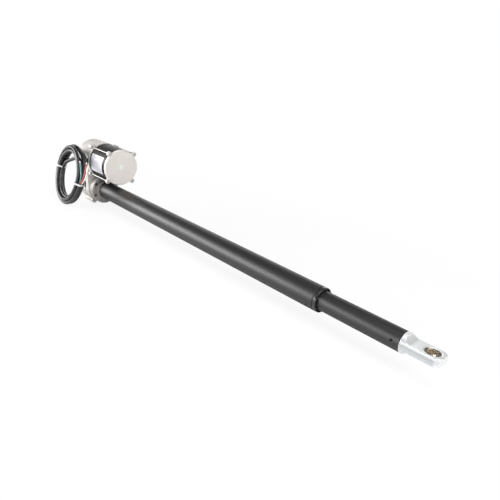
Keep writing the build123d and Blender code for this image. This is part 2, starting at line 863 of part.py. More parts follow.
with BuildPart() as idler_gear:
    with BuildSketch(across(idler_small_start, idler_height)):
        gear_face(idler_small_teeth, -90)
    extrude(amount=idler_big_start - idler_small_start)
    with BuildSketch(across(idler_big_start, idler_height)):
        gear_face(idler_big_teeth, 90 + 180 / idler_big_teeth)
    extrude(amount=idler_big_width)
    with BuildSketch(across(idler_small_start, idler_height)):
        Circle(idler_gear_bore)
    extrude(amount=idler_big_end - idler_small_start, mode=Mode.SUBTRACT)
save(idler_gear, "idler_gear")

with BuildPart() as idler_bushes:
    for face, inward in ((idler_small_start, 1), (idler_big_end, -1)):
        with BuildSketch(across(face, idler_height)):
            ring(idler_gear_bore - seat_gap, idler_bush_bore)
        extrude(amount=inward * idler_bush_length)
        with BuildSketch(across(face, idler_height)):
            ring(idler_bush_flange_radius, idler_bush_bore)
        extrude(amount=-inward * idler_bush_flange)
save(idler_bushes, "idler_bushes")

# Lead screw with its gear, key, spacers, stop and bearings
shoulder_start = front_bearing_end + side_gap
key_start = screw_gear_start + (screw_gear_width - key_length) / 2
key_middle = gear_seat_radius

with BuildPart() as lead_screw:
    with BuildSketch(along()):
        with BuildLine():
            Polyline(
                (rear_bearing_start + side_gap, 0),
                (rear_bearing_start + side_gap, rear_journal_radius),
                (rear_bearing_end, rear_journal_radius),
                (rear_bearing_end, gear_seat_radius),
                (flange_back, gear_seat_radius),
                (flange_back, screw_journal_radius),
                (front_bearing_end, screw_journal_radius),
                (shoulder_start, screw_journal_radius),
                (shoulder_start, screw_shoulder_radius),
                (shoulder_start + screw_shoulder_length, screw_shoulder_radius),
                (shoulder_start + screw_shoulder_length, screw_radius),
                (screw_end, screw_radius),
                (screw_end, 0),
                close=True,
            )
        make_face()
    revolve(axis=Axis.X)
    with BuildSketch(across(key_start, key_middle)):
        Rectangle(key_width + 2 * seat_gap, key_height + 2 * seat_gap)
    extrude(amount=key_length, mode=Mode.SUBTRACT)
save(lead_screw, "lead_screw")

with BuildPart() as screw_gear:
    with BuildSketch(across(screw_gear_start)):
        gear_face(screw_gear_teeth, 90 + 180 / screw_gear_teeth)
        Circle(gear_seat_radius + seat_gap, mode=Mode.SUBTRACT)
        with PolarLocations(gear_hole_circle, gear_holes):
            Circle(gear_hole_radius, mode=Mode.SUBTRACT)
    extrude(amount=screw_gear_width)
    for face, inward in ((screw_gear_start, 1), (screw_gear_end, -1)):
        with BuildSketch(across(face)):
            ring(screw_gear_teeth * gear_module / 2 - gear_rim, spacer_radius + gear_hub_wall)
        extrude(amount=inward * gear_dish, mode=Mode.SUBTRACT)
    with BuildSketch(across(screw_gear_start, key_middle)):
        Rectangle(key_width + 2 * seat_gap, key_height + 2 * seat_gap)
    extrude(amount=screw_gear_width, mode=Mode.SUBTRACT)
save(screw_gear, "screw_gear")

with BuildPart() as gear_key:
    with BuildSketch(across(key_start + seat_gap, key_middle)):
        Rectangle(key_width, key_height)
    extrude(amount=key_length - 2 * seat_gap)
save(gear_key, "gear_key")

with BuildPart() as screw_spacers:
    with BuildSketch(across(screw_gear_end)):
        ring(spacer_radius, gear_seat_radius + seat_gap)
    extrude(amount=flange_back - side_gap - screw_gear_end)
    with BuildSketch(across(rear_bearing_end + side_gap)):
        ring(gear_seat_radius + rear_spacer_wall, gear_seat_radius + seat_gap)
    extrude(amount=screw_gear_start - rear_bearing_end - side_gap)
save(screw_spacers, "screw_spacers")

with BuildPart() as screw_stop:
    with BuildSketch(across(screw_end)):
        Circle(stop_radius)
    extrude(amount=stop_length)
    with BuildSketch(across(screw_end + stop_length)):
        RegularPolygon(radius=stop_head_radius, side_count=6)
    extrude(amount=stop_head_height)
save(screw_stop, "screw_stop")

with BuildPart() as screw_front_bearing:
    with BuildSketch(along()):
        bearing_section(
            flange_back, screw_journal_radius + running_gap, front_bearing_outer, front_bearing_width
        )
    revolve(axis=Axis.X)
save(screw_front_bearing, "screw_front_bearing")

with BuildPart() as screw_rear_bearing:
    with BuildSketch(along()):
        bearing_section(
            rear_bearing_start, rear_journal_radius + running_gap, rear_bearing_outer, rear_bearing_width
        )
    revolve(axis=Axis.X)
save(screw_rear_bearing, "screw_rear_bearing")

# Outer tube with its guide bush, collar, wiper seal and lock screw
with BuildPart() as outer_tube:
    with BuildSketch(along()):
        with BuildLine():
            Polyline(
                (front_bearing_end, tube_bore),
                (tube_end, tube_bore),
                (tube_end, tube_radius - tube_edge),
                (tube_end - tube_edge, tube_radius),
                (datum, tube_radius),
                (datum, socket_radius),
                (front_bearing_end, socket_radius),
                close=True,
            )
        make_face()
    revolve(axis=Axis.X)
    with BuildSketch(outward(lock_screw_x, lock_screw_angle, 0)):
        Circle(lock_screw_radius + seat_gap)
    extrude(amount=2 * tube_radius, mode=Mode.SUBTRACT)
save(outer_tube, "outer_tube")

with BuildPart() as guide_bush:
    with BuildSketch(across(bush_end)):
        ring(tube_bore - seat_gap, inner_radius + running_gap)
    extrude(amount=-bush_length)
save(guide_bush, "guide_bush")

with BuildPart() as end_collar:
    with BuildSketch(along()):
        with BuildLine():
            Polyline(
                (collar_start, tube_bore - seat_gap),
                (tube_end, tube_bore - seat_gap),
                (tube_end, tube_radius - tube_edge),
                (tube_end + tube_edge, tube_radius - collar_drop),
                (collar_end - collar_edge, tube_radius - collar_drop),
                (collar_end, tube_radius - collar_drop - collar_edge),
                (collar_end, collar_opening),
                (tube_end + collar_seat, collar_throat),
                (tube_end + collar_seat, collar_bore),
                (collar_start, collar_bore),
                close=True,
            )
        make_face()
    revolve(axis=Axis.X)
    with BuildSketch(across(collar_end)):
        with PolarLocations(tube_radius, collar_slots, start_angle=collar_slot_turn):
            Rectangle(2 * tube_wall, collar_slot_width)
    extrude(amount=-collar_slot_depth, mode=Mode.SUBTRACT)
    with BuildSketch(outward(lock_screw_x, lock_screw_angle, 0)):
        Circle(lock_screw_radius + seat_gap)
    extrude(amount=2 * tube_radius, mode=Mode.SUBTRACT)
save(end_collar, "end_collar")

seal_start = tube_end + collar_seat + seat_gap

with BuildPart() as wiper_seal:
    with BuildSketch(along()):
        with BuildLine():
            Polyline(
                (seal_start, inner_radius + free_gap),
                (seal_start, collar_throat - seat_gap),
                (seal_start + seal_length / 2, collar_throat - seat_gap),
                (seal_start + seal_length, inner_radius + seal_lip_gap),
                (seal_start + seal_length / 2, inner_radius + seal_lip_gap),
                close=True,
            )
        make_face()
    revolve(axis=Axis.X)
save(wiper_seal, "wiper_seal")

lock_screw_top = tube_radius - lock_screw_sunk

with BuildPart() as lock_screw:
    with BuildSketch(outward(lock_screw_x, lock_screw_angle, lock_screw_top)):
        Circle(lock_screw_radius)
    extrude(amount=collar_bore - lock_screw_top)
    with BuildSketch(outward(lock_screw_x, lock_screw_angle, lock_screw_top)):
        RegularPolygon(radius=lock_hex_radius, side_count=6)
    extrude(amount=-lock_hex_depth, mode=Mode.SUBTRACT)
save(lock_screw, "lock_screw")

# Inner tube with the drive nut, its glide ring and the rod end
with BuildPart() as inner_tube:
    with BuildSketch(across(inner_start)):
        ring(inner_radius, inner_bore)
    extrude(amount=inner_end - inner_start)
    for angle in pin_angles:
        with BuildSketch(outward(pin_x, angle, inner_radius - pin_depth)):
            Circle(pin_radius + seat_gap)
        extrude(amount=2 * pin_depth, mode=Mode.SUBTRACT)
save(inner_tube, "inner_tube")

with BuildPart() as drive_nut:
    with BuildSketch(along()):
        with BuildLine():
            Polyline(
                (nut_start, screw_radius + running_gap),
                (inner_start + nut_land, screw_radius + running_gap),
                (inner_start + nut_land, shank_radius),
                (inner_start, shank_radius),
                (inner_start, nut_radius),
                (inner_start - nut_land, nut_radius),
                (inner_start - nut_land, ring_bottom),
                (nut_start + nut_land, ring_bottom),
                (nut_start + nut_land, nut_radius),
                (nut_start, nut_radius),
                close=True,
            )
        make_face()
    revolve(axis=Axis.X)
save(drive_nut, "drive_nut")

with BuildPart() as glide_ring:
    with BuildSketch(across(nut_start + nut_land + seat_gap)):
        ring(nut_radius, ring_bottom + seat_gap)
    extrude(amount=nut_length - 2 * nut_land - 2 * seat_gap)
save(glide_ring, "glide_ring")

shank_start = inner_end - rod_shank_length
clip_start = race_width / 2

with BuildPart() as rod_end:
    with BuildSketch(along()):
        with BuildLine():
            Polyline(
                (shank_start, 0),
                (shank_start, shank_radius - 1),
                (shank_start + 1, shank_radius),
                (inner_end, shank_radius),
                (inner_end, inner_radius - 1),
                (inner_end + 1, inner_radius),
                (rod_tip - tip_chamfer_length, inner_radius),
                (rod_tip, inner_radius - tip_chamfer_depth),
                (rod_tip, 0),
                close=True,
            )
        make_face()
    revolve(axis=Axis.X)
    fillet(rod_end.faces().sort_by(Axis.X)[-1].edges(), radius=tip_round)
    with BuildSketch(along()):
        with Locations((cutter_x, flat_half + cutter_radius)):
            Circle(cutter_radius)
        with Locations((rod_tip, flat_half + inner_radius)):
            Rectangle(2 * (rod_tip - cutter_x), 2 * inner_radius)
        with Locations((cutter_x, flat_half + cutter_radius + inner_radius)):
            Rectangle(2 * cutter_radius, 2 * inner_radius)
        mirror(about=Plane.XZ)
    extrude(amount=2 * inner_radius, both=True, mode=Mode.SUBTRACT)
    with BuildSketch(along()):
        with BuildLine():
            Polyline(
                (eye_x, 0),
                (eye_x + race_outer + seat_gap, 0),
                (eye_x + race_outer + seat_gap, clip_start),
                (eye_x + clip_outer + seat_gap, clip_start),
                (eye_x + clip_outer + seat_gap, clip_start + clip_width + seat_gap),
                (eye_x + race_outer + seat_gap, clip_start + clip_width + seat_gap),
                (eye_x + mouth_radius, flat_half),
                (eye_x + mouth_radius, flat_half + 1),
                (eye_x, flat_half + 1),
                close=True,
            )
        make_face()
        mirror(about=Plane.XZ)
    revolve(axis=Axis((eye_x - datum, 0, 0), (0, 0, 1)), mode=Mode.SUBTRACT)
    for angle in pin_angles:
        with BuildSketch(outward(pin_x, angle, inner_radius - pin_sunk - pin_depth)):
            Circle(pin_radius + seat_gap)
        extrude(amount=2 * pin_depth, mode=Mode.SUBTRACT)
save(rod_end, "rod_end")

with BuildPart() as rod_pins:
    for angle in pin_angles:
        with BuildSketch(outward(pin_x, angle, inner_radius - pin_sunk)):
            Circle(pin_radius)
        extrude(amount=-pin_depth)
save(rod_pins, "rod_pins")

# Spherical bearing in the rod's eye, held by two open wire rings
eye_axis = Axis((eye_x - datum, 0, 0), (0, 0, 1))

with BuildPart() as bearing_race:
    with BuildSketch(along()):
        with Locations((eye_x + race_outer / 2, 0)):
            Rectangle(race_outer, race_width)
        with Locations((eye_x, 0)):
            Circle(ball_radius + running_gap, mode=Mode.SUBTRACT)
        chamfer(vertices().sort_by(Axis.X)[-2:], length=race_lead)
    revolve(axis=eye_axis)
save(bearing_race, "bearing_race")

with BuildPart() as bearing_ball:
    with BuildSketch(along()):
        with Locations((eye_x, 0)):
            Circle(ball_radius)
        with Locations((eye_x + ball_radius, 0)):
            Rectangle(2 * ball_radius - 2 * eye_bore, ball_width, mode=Mode.INTERSECT)
    revolve(axis=eye_axis)
save(bearing_ball, "bearing_ball")

with BuildPart() as race_clips:
    for start in (clip_start + seat_gap, -clip_start - clip_width):
        with BuildSketch(level(start)):
            with Locations((eye_x, 0)):
                ring(clip_outer, clip_inner)
            with Locations((eye_x + clip_outer, 0)):
                Rectangle(clip_opening, clip_opening, mode=Mode.SUBTRACT)
        extrude(amount=clip_width - seat_gap)
save(race_clips, "race_clips")

# Cable gland: a round body lying along the bell's flank, its plug in the bell, and a clamp nut
with BuildPart() as cable_gland:
    with BuildSketch(Plane(origin=gland_low, z_dir=gland_line)):
        Circle(gland_radius)
    extrude(amount=gland_length - gland_nut_length)
    with Locations(gland_low):
        Sphere(gland_radius)
    with BuildSketch(gland_plug_plane):
        Circle(gland_plug_radius)
    extrude(amount=plug_length)
save(cable_gland, "cable_gland")

with BuildPart() as gland_nut:
    with BuildSketch(Plane(origin=lead_route[0], z_dir=-gland_line)):
        Circle(gland_nut_radius)
    extrude(amount=gland_nut_length)
    fillet(gland_nut.edges().group_by(Axis.Z)[-1], radius=gland_nut_round)
save(gland_nut, "gland_nut")

# Cable coil: one ring of the bundle's size, standing beside the housing
coil_centre = Vector(*beside_bell(*coil_place))
yaw = radians(coil_yaw)
lean = radians(coil_lean)
coil_plane = Plane(
    origin=coil_centre,
    x_dir=(cos(yaw), -sin(yaw), 0),
    z_dir=(-sin(yaw) * cos(lean), -cos(yaw) * cos(lean), sin(lean)),
)


def coil_section(angle):
    """Plane across the bundle at an angle round the coil, its own x pointing outwards."""
    turn = radians(angle)
    outwards = coil_plane.x_dir * cos(turn) + coil_plane.y_dir * sin(turn)
    onwards = coil_plane.y_dir * cos(turn) - coil_plane.x_dir * sin(turn)
    centre = coil_plane.origin + outwards * coil_radius
    return Plane(origin=centre, x_dir=outwards, z_dir=onwards)


with BuildPart() as cable_coil:
    with BuildSketch(coil_section(0)):
        Circle(bundle_radius)
    revolve(axis=Axis(coil_plane.origin, coil_plane.z_dir))
save(cable_coil, "cable_coil")

tie_inner = bundle_radius + tie_gap
tie_outer = tie_inner + tie_thickness

for place, angle in tie_places.items():
    with BuildPart() as cable_tie:
        with BuildSketch(coil_section(angle)):
            ring(tie_outer, tie_inner)
            with Locations((-tie_inner - tie_head / 2, 0)):
                Rectangle(tie_head, tie_head)
        extrude(amount=tie_width / 2, both=True)
    save(cable_tie, f"cable_tie_{place}")

with BuildPart() as lead_cable:
    with BuildLine() as lead_line:
        FilletPolyline(*lead_route, radius=run_radii(lead_route))
    with BuildSketch(Plane(origin=lead_line.line @ 0, z_dir=lead_line.line % 0)):
        Circle(cable_radius)
    sweep(path=lead_line.line)
    add(cable_coil.part, mode=Mode.SUBTRACT)
save(lead_cable, "lead_cable")

for colour, places in wire_places.items():
    route = [coil_centre + Vector(*place) for place in places]
    with BuildPart() as wire:
        with BuildLine() as wire_line:
            FilletPolyline(*route, radius=run_radii(route))
        with BuildSketch(Plane(origin=wire_line.line @ 0, z_dir=wire_line.line % 0)):
            Circle(wire_radius)
        sweep(path=wire_line.line)
        add(cable_coil.part, mode=Mode.SUBTRACT)
    save(wire, f"wire_{colour}")
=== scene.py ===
import bmesh
import bpy
import numpy as np
from math import cos, pi, radians, sin
from mathutils import Matrix, Vector


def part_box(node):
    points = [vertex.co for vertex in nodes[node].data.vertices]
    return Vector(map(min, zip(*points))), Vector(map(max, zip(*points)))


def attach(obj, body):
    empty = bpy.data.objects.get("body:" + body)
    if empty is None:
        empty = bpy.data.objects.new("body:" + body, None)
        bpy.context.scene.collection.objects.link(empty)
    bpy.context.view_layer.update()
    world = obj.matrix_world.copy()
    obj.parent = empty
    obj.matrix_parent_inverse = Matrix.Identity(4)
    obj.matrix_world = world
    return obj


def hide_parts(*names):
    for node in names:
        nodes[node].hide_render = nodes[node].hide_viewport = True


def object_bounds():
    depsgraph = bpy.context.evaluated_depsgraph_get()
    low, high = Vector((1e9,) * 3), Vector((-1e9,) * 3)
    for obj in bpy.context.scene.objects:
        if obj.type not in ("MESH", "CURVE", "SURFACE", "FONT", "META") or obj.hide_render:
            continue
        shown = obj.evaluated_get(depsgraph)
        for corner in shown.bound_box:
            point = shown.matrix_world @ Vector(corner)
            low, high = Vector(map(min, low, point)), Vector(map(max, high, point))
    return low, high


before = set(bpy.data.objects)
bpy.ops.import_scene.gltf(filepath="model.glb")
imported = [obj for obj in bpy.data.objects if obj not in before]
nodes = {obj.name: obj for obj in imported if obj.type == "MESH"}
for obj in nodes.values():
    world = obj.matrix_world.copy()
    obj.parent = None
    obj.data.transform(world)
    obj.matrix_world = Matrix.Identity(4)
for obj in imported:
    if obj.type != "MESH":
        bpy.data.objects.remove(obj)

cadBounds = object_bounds()
floorLevel = cadBounds[0][2]
canLow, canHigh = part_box("motor_can")
motorLevel = (canLow[2] + canHigh[2]) / 2  # height of the motor's axis over the tube's
print("frame loaded, motor axis at", round(motorLevel, 5))


def addObject(name, data):
    added = bpy.data.objects.new(name, data)
    bpy.context.scene.collection.objects.link(added)
    return added


# camera where the photo was taken from
camera = dict(place=(1.13807, -0.62523, 0.31873), heading=(-0.64553, 0.69139, -0.32446), roll=8.987,
              lens=33.95, sensor=36)


def makeCamera():
    # columns: right and up, turned by the roll about the line of sight, then backwards
    sight = Vector(camera["heading"]).normalized()
    right = sight.cross(Vector((0, 0, 1))).normalized()
    up = right.cross(sight)
    roll = radians(camera["roll"])
    rolledRight = right * cos(roll) + up * sin(roll)
    rolledUp = up * cos(roll) - right * sin(roll)
    data = bpy.data.cameras.new("camera")
    data.lens = camera["lens"]
    data.sensor_width = camera["sensor"]
    eye = addObject("camera", data)
    axes = Matrix((rolledRight, rolledUp, -sight)).transposed()
    eye.matrix_world = Matrix.Translation(camera["place"]) @ axes.to_4x4()
    bpy.context.scene.camera = eye


makeCamera()
print("camera placed")

# shader maths; edgeLean is how far the rounded normal leaves the true one where an edge is full
shading = dict(bevelSamples=6, edgeLean=0.12)


class Signal:
    # one output of a finish's nodes; arithmetic on it adds Math nodes
    def __init__(self, finish, socket):
        self.finish = finish
        self.socket = socket

    def math(self, operation, first, second):
        return self.finish.add("Math", dict(operation=operation), {0: first, 1: second})

    def __add__(self, other):
        return self.math("ADD", self, other)

    def __sub__(self, other):
        return self.math("SUBTRACT", self, other)

    def __rsub__(self, other):
        return self.math("SUBTRACT", other, self)

    def __mul__(self, other):
        return self.math("MULTIPLY", self, other)

    def sine(self):
        return self.math("SINE", self, 0.0)

    __radd__ = __add__
    __rmul__ = __mul__


class Finish:
    # one material: its shader, and the calls that build its nodes
    def __init__(self, name, **constants):
        self.material = bpy.data.materials.new(name)
        self.material.use_nodes = True
        self.tree = self.material.node_tree
        self.tree.nodes.clear()
        self.shader = self.tree.nodes.new("ShaderNodeBsdfPrincipled")
        self.surface = self.tree.nodes.new("ShaderNodeOutputMaterial").inputs["Surface"]
        self.tree.links.new(self.shader.outputs[0], self.surface)
        for socket, value in constants.items():
            self.set(socket, value)

    def feed(self, socket, value):
        if isinstance(value, Signal):
            self.tree.links.new(value.socket, socket)
        elif isinstance(value, tuple) and len(value) == 3 and socket.type == "RGBA":
            socket.default_value = (*value, 1.0)
        else:
            socket.default_value = value

    def set(self, socket, value):
        # camelCase name of a shader socket, such as baseColor or coatWeight
        words = "".join(" " + letter if letter.isupper() else letter for letter in socket).title()
        self.feed(self.shader.inputs[words.replace("Ior", "IOR")], value)

    def add(self, kind, settings, inputs, output=0):
        # any node: its settings come first, then the values or links of its sockets
        node = self.tree.nodes.new("ShaderNode" + kind)
        for name, value in settings.items():
            setattr(node, name, value)
        for name, value in inputs.items():
            self.feed(node.inputs[name], value)
        return Signal(self, node.outputs[output])

    def vector(self, operation, *values, output=0):
        return self.add("VectorMath", dict(operation=operation), dict(enumerate(values)), output)

    def place(self, centre=(0, 0, 0), scale=(1, 1, 1)):
        # Object coordinates from a centre, stretched along each axis
        point = self.add("TexCoord", {}, {}, "Object")
        return self.vector("MULTIPLY", self.vector("SUBTRACT", point, centre), scale)

    def axis(self, point, letter):
        return self.add("SeparateXYZ", {}, {0: point}, letter)

    def normal(self):
        return self.add("NewGeometry", {}, {}, "Normal")

    def roundedNormal(self, width):
        return self.add("Bevel", dict(samples=shading["bevelSamples"]), {"Radius": width})

    def noise(self, scale, detail=3.0, roughness=0.55, at=None):
        inputs = {"Scale": scale, "Detail": detail, "Roughness": roughness, "Vector": at or self.place()}
        return self.add("TexNoise", {}, inputs, "Fac")

    def scratches(self, scale, stretch):
        # noise drawn out along the axes whose stretch is small
        return self.noise(scale, at=self.place(scale=stretch))

    def mix(self, mask, first, second):
        # colour that goes from the first to the second as the mask goes from 0 to 1
        return self.add("Mix", dict(data_type="RGBA"), {0: mask, 6: first, 7: second}, 2)

    def ramp(self, value, low, high):
        # 0 below low, 1 above high, smooth between
        settings = dict(interpolation_type="SMOOTHSTEP")
        return self.add("MapRange", settings, {"Value": value, "From Min": low, "From Max": high})

    def patches(self, scale, low, high, detail=3.0, roughness=0.55):
        # soft-edged patches: noise that counts from low on and is full at high
        return self.ramp(self.noise(scale, detail, roughness), low, high)

    def edges(self, width):
        # mask of the outer and inner edges: how far the rounded normal leaves the true one
        agree = self.vector("DOT_PRODUCT", self.roundedNormal(width), self.normal(), output="Value")
        return self.ramp(1 - agree, 0.0, shading["edgeLean"])

    def bump(self, height, distance, strength, edge=0.0):
        # surface relief in metres, over a normal rounded at sharp edges
        inputs = {"Height": height, "Distance": distance, "Strength": strength}
        if edge:
            inputs["Normal"] = self.roundedNormal(edge)
        self.set("normal", self.add("Bump", {}, inputs))


# in every finish: a list of patches holds the values of Finish.patches, a Share is how much of a colour
# is mixed in, and a Rough value is added to the roughness where its mask is 1

# castings of the gearbox and motor; the flange's darker tone is a painted shade where the can overhangs it
casting = dict(light=(0.60, 0.575, 0.55), dark=(0.46, 0.44, 0.415), bright=(0.80, 0.78, 0.75), metal=0.4,
               rough=0.54, clouds=(22.0, 0.35, 0.7, 4.0), cloudShare=0.55, grain=900.0, grainShare=0.25,
               grainDepth=0.00009, edge=0.0008, rubbed=(140.0, 0.3, 0.6), rubbedShare=0.7, cloudRough=0.1,
               rubbedRough=-0.14, flangeShadeTone=0.5)


def castFinish(name, shadeTone=1.0):
    # bead-blasted casting: soft clouds, a fine grain, brighter rubbed edges; a tone below 1 darkens all of it
    # as a painted shade
    finish = Finish(name, metallic=casting["metal"])
    cloud = finish.patches(*casting["clouds"])
    grain = finish.noise(casting["grain"], detail=2.0)
    light = tuple(shadeTone * part for part in casting["light"])
    dark = tuple(shadeTone * part for part in casting["dark"])
    base = finish.mix(cloud * casting["cloudShare"] + grain * casting["grainShare"], light, dark)
    rubbed = finish.edges(casting["edge"]) * finish.patches(*casting["rubbed"])
    finish.set("baseColor", finish.mix(rubbed * casting["rubbedShare"], base, casting["bright"]))
    wear = cloud * casting["cloudRough"] + rubbed * casting["rubbedRough"]
    finish.set("roughness", casting["rough"] + wear)
    finish.bump(grain, casting["grainDepth"], strength=0.6, edge=casting["edge"])
    return finish.material


# turned motor cap; each waver is a noise's scale and how far it moves the rings
cap = dict(colour=(0.77, 0.725, 0.69), dark=(0.69, 0.65, 0.615), rim=(0.90, 0.89, 0.87), metal=0.35,
           rough=0.42, rings=0.00042, ringWaver=(60.0, 3.0), ringShare=0.3, depth=0.00002, broad=900.0,
           broadWaver=(18.0, 2.0), broadShare=0.35, clouds=(55.0, 0.35, 0.7, 5.0), cloudShare=0.25,
           broadRough=0.12, edge=0.0009, rimShare=0.8, rimRough=-0.15, spot=(0.78, 0.81, 0.79),
           spotRadius=0.0074, spotCore=0.7, spotShare=0.8)


def turnedFinish():
    # turned face: sine rings round the motor's axis, broken up by noise along each ring
    finish = Finish("turnedCap", metallic=cap["metal"])
    fromAxis = finish.place(centre=(0, 0, motorLevel), scale=(0, 1, 1))
    radius = finish.vector("LENGTH", fromAxis, output="Value")
    waver, waverDepth = cap["ringWaver"]
    phase = radius * (2 * pi / cap["rings"]) + finish.noise(waver) * waverDepth
    rings = phase.sine() * 0.5 + 0.5
    cloud = finish.patches(*cap["clouds"])
    waver, waverDepth = cap["broadWaver"]
    around = finish.noise(waver) * waverDepth
    broad = finish.noise(1.0, at=finish.add("CombineXYZ", {}, {0: radius * cap["broad"], 1: around}))
    darkness = rings * cap["ringShare"] + broad * cap["broadShare"] + cloud * cap["cloudShare"]
    base = finish.mix(darkness, cap["colour"], cap["dark"])
    spot = 1 - finish.ramp(radius, cap["spotRadius"] * cap["spotCore"], cap["spotRadius"])
    base = finish.mix(spot * cap["spotShare"], base, cap["spot"])
    rim = finish.edges(cap["edge"])
    finish.set("baseColor", finish.mix(rim * cap["rimShare"], base, cap["rim"]))
    finish.set("roughness", cap["rough"] + (broad * cap["broadRough"] + rim * cap["rimRough"]))
    finish.bump(rings, cap["depth"], strength=0.5, edge=cap["edge"])
    return finish.material


# black paint of the can and the tubes
paint = dict(colour=(0.003, 0.003, 0.0031), lighter=(0.0068, 0.0068, 0.0068), worn=(0.10, 0.098, 0.095),
             canRough=0.50, tubeRough=0.44, shine=0.6, peel=1500.0, depth=0.00003,
             dust=(210.0, 0.55, 0.8, 6.0, 0.7), dustShare=0.35, streak=14.0, streakStretch=(0.25, 2.5, 2.5),
             streakShare=0.35, streakRough=0.08, dustRough=0.06, edge=0.0006, wornPatches=(320.0, 0.45, 0.62),
             wornShare=0.35)


def paintFinish(name, rough):
    # satin black paint: orange-peel relief, faint dust and a rubbed edge
    finish = Finish(name, specularIorLevel=paint["shine"])
    peel = finish.noise(paint["peel"], detail=2.0)
    dust = finish.patches(*paint["dust"])
    streak = finish.noise(paint["streak"], detail=4.0, at=finish.place(scale=paint["streakStretch"]))
    lightness = dust * paint["dustShare"] + streak * paint["streakShare"]
    base = finish.mix(lightness, paint["colour"], paint["lighter"])
    worn = finish.edges(paint["edge"]) * finish.patches(*paint["wornPatches"])
    finish.set("baseColor", finish.mix(worn * paint["wornShare"], base, paint["worn"]))
    finish.set("roughness", rough + (streak * paint["streakRough"] + dust * paint["dustRough"]))
    finish.bump(peel, paint["depth"], strength=0.5, edge=0.0004)
    return finish.material


# bare metals: colour, colour of the tarnish, roughness, scale of the scratches
steel = dict(
    zincSteel=((0.72, 0.71, 0.69), (0.56, 0.56, 0.57), 0.30, 420.0),
    blackSteel=((0.011, 0.011, 0.012), (0.026, 0.025, 0.024), 0.42, 500.0),
    screwSteel=((0.16, 0.155, 0.15), (0.08, 0.078, 0.075), 0.40, 500.0),
    bearingSteel=((0.62, 0.62, 0.63), (0.48, 0.48, 0.49), 0.20, 700.0),
    gearSteel=((0.42, 0.41, 0.40), (0.27, 0.26, 0.25), 0.33, 600.0),
    raceSteel=((0.40, 0.31, 0.21), (0.17, 0.12, 0.075), 0.25, 260.0),
    ballSteel=((0.66, 0.59, 0.49), (0.36, 0.30, 0.22), 0.16, 300.0),
    bronze=((0.62, 0.42, 0.22), (0.42, 0.26, 0.12), 0.36, 380.0),
    copper=((0.80, 0.40, 0.24), (0.52, 0.22, 0.12), 0.33, 520.0),
    coreSteel=((0.30, 0.30, 0.31), (0.19, 0.19, 0.20), 0.45, 900.0),
    tinned=((0.50, 0.47, 0.43), (0.34, 0.30, 0.26), 0.34, 900.0),
)
# scratches, tarnish and edges of every bare metal
scratched = dict(stretch=(0.12, 1, 1), share=0.25, clouds=(65.0, 0.4, 0.72, 5.0), cloudShare=0.6, edge=0.0004,
                 edgeShare=0.5, edgeGain=1.25, depth=0.00002, bevel=0.0003, cloudRough=0.12, rough=0.08,
                 edgeRough=-0.06)


def steelFinish(name):
    # bare metal: fine drawn scratches along the axis, clouds of tarnish, bright edges
    colour, tarnish, rough, grain = steel[name]
    finish = Finish(name, metallic=1.0)
    scratch = finish.scratches(grain, scratched["stretch"])
    cloud = finish.patches(*scratched["clouds"])
    edge = finish.edges(scratched["edge"])
    base = finish.mix(cloud * scratched["cloudShare"] + scratch * scratched["share"], colour, tarnish)
    bright = tuple(min(1.0, scratched["edgeGain"] * part) for part in colour)
    finish.set("baseColor", finish.mix(edge * scratched["edgeShare"], base, bright))
    wear = cloud * scratched["cloudRough"] + scratch * scratched["rough"] + edge * scratched["edgeRough"]
    finish.set("roughness", rough + wear)
    finish.bump(scratch, scratched["depth"], strength=0.4, edge=scratched["bevel"])
    return finish.material


# aluminium rod end; the flanks carry a painted shade in the flank colour, which grows over a band from its
# low to its high height, counted from the tube's axis
rodMetal = dict(colour=(0.76, 0.775, 0.775), shade=(0.68, 0.695, 0.695), flank=(0.22, 0.23, 0.24),
                bright=(0.95, 0.95, 0.95), metal=0.4, rough=0.3, lines=500.0, lineStretch=(1, 0.06, 0.06),
                lineShare=0.2, lineDepth=0.000006, clouds=(80.0, 0.4, 0.75, 4.0), cloudShare=0.3, edge=0.0007,
                paintedShadeFrom=0.45, paintedShadeTo=0.95, paintedShadeShare=0.55, paintedBandShare=0.3, paintedBandLow=-0.004, paintedBandHigh=0.004,
                lineRough=0.04, edgeRough=-0.05)


def rodEndFinish():
    # bright machined aluminium: fine tool lines, clean chamfers, and a painted shade on the flanks, darker
    # towards the top
    finish = Finish("rodEndMetal", metallic=rodMetal["metal"])
    lines = finish.noise(rodMetal["lines"], detail=2.0, at=finish.place(scale=rodMetal["lineStretch"]))
    cloud = finish.patches(*rodMetal["clouds"])
    edge = finish.edges(rodMetal["edge"])
    # sideways-facing faces: the mask where the painted shade on the flanks goes
    sideways = finish.axis(finish.normal(), "Y")
    flank = finish.ramp(sideways * sideways, rodMetal["paintedShadeFrom"], rodMetal["paintedShadeTo"])
    band = finish.ramp(finish.axis(finish.place(), "Z"), rodMetal["paintedBandLow"], rodMetal["paintedBandHigh"])
    shade = lines * rodMetal["lineShare"] + cloud * rodMetal["cloudShare"]
    base = finish.mix(shade, rodMetal["colour"], rodMetal["shade"])
    # painted shade: the flanks darkened, more in the upper band
    paintedFlankShade = flank * (rodMetal["paintedShadeShare"] + band * rodMetal["paintedBandShare"])
    base = finish.mix(paintedFlankShade, base, rodMetal["flank"])
    finish.set("baseColor", finish.mix(edge, base, rodMetal["bright"]))
    wear = lines * rodMetal["lineRough"] + edge * rodMetal["edgeRough"]
    finish.set("roughness", rodMetal["rough"] + wear)
    finish.bump(lines, rodMetal["lineDepth"], strength=0.2, edge=0.0006)
    return finish.material


# motor's through bolts; their heads begin at headFrom along the object
bolt = dict(shaft=(0.24, 0.235, 0.23), head=(0.70, 0.69, 0.67), bright=(0.88, 0.87, 0.85), rough=0.26,
            scratches=420.0, headFrom=0.0655, headFade=0.0004, headShare=0.75, scratchShare=0.25,
            scratchRough=0.12, headRough=0.16)


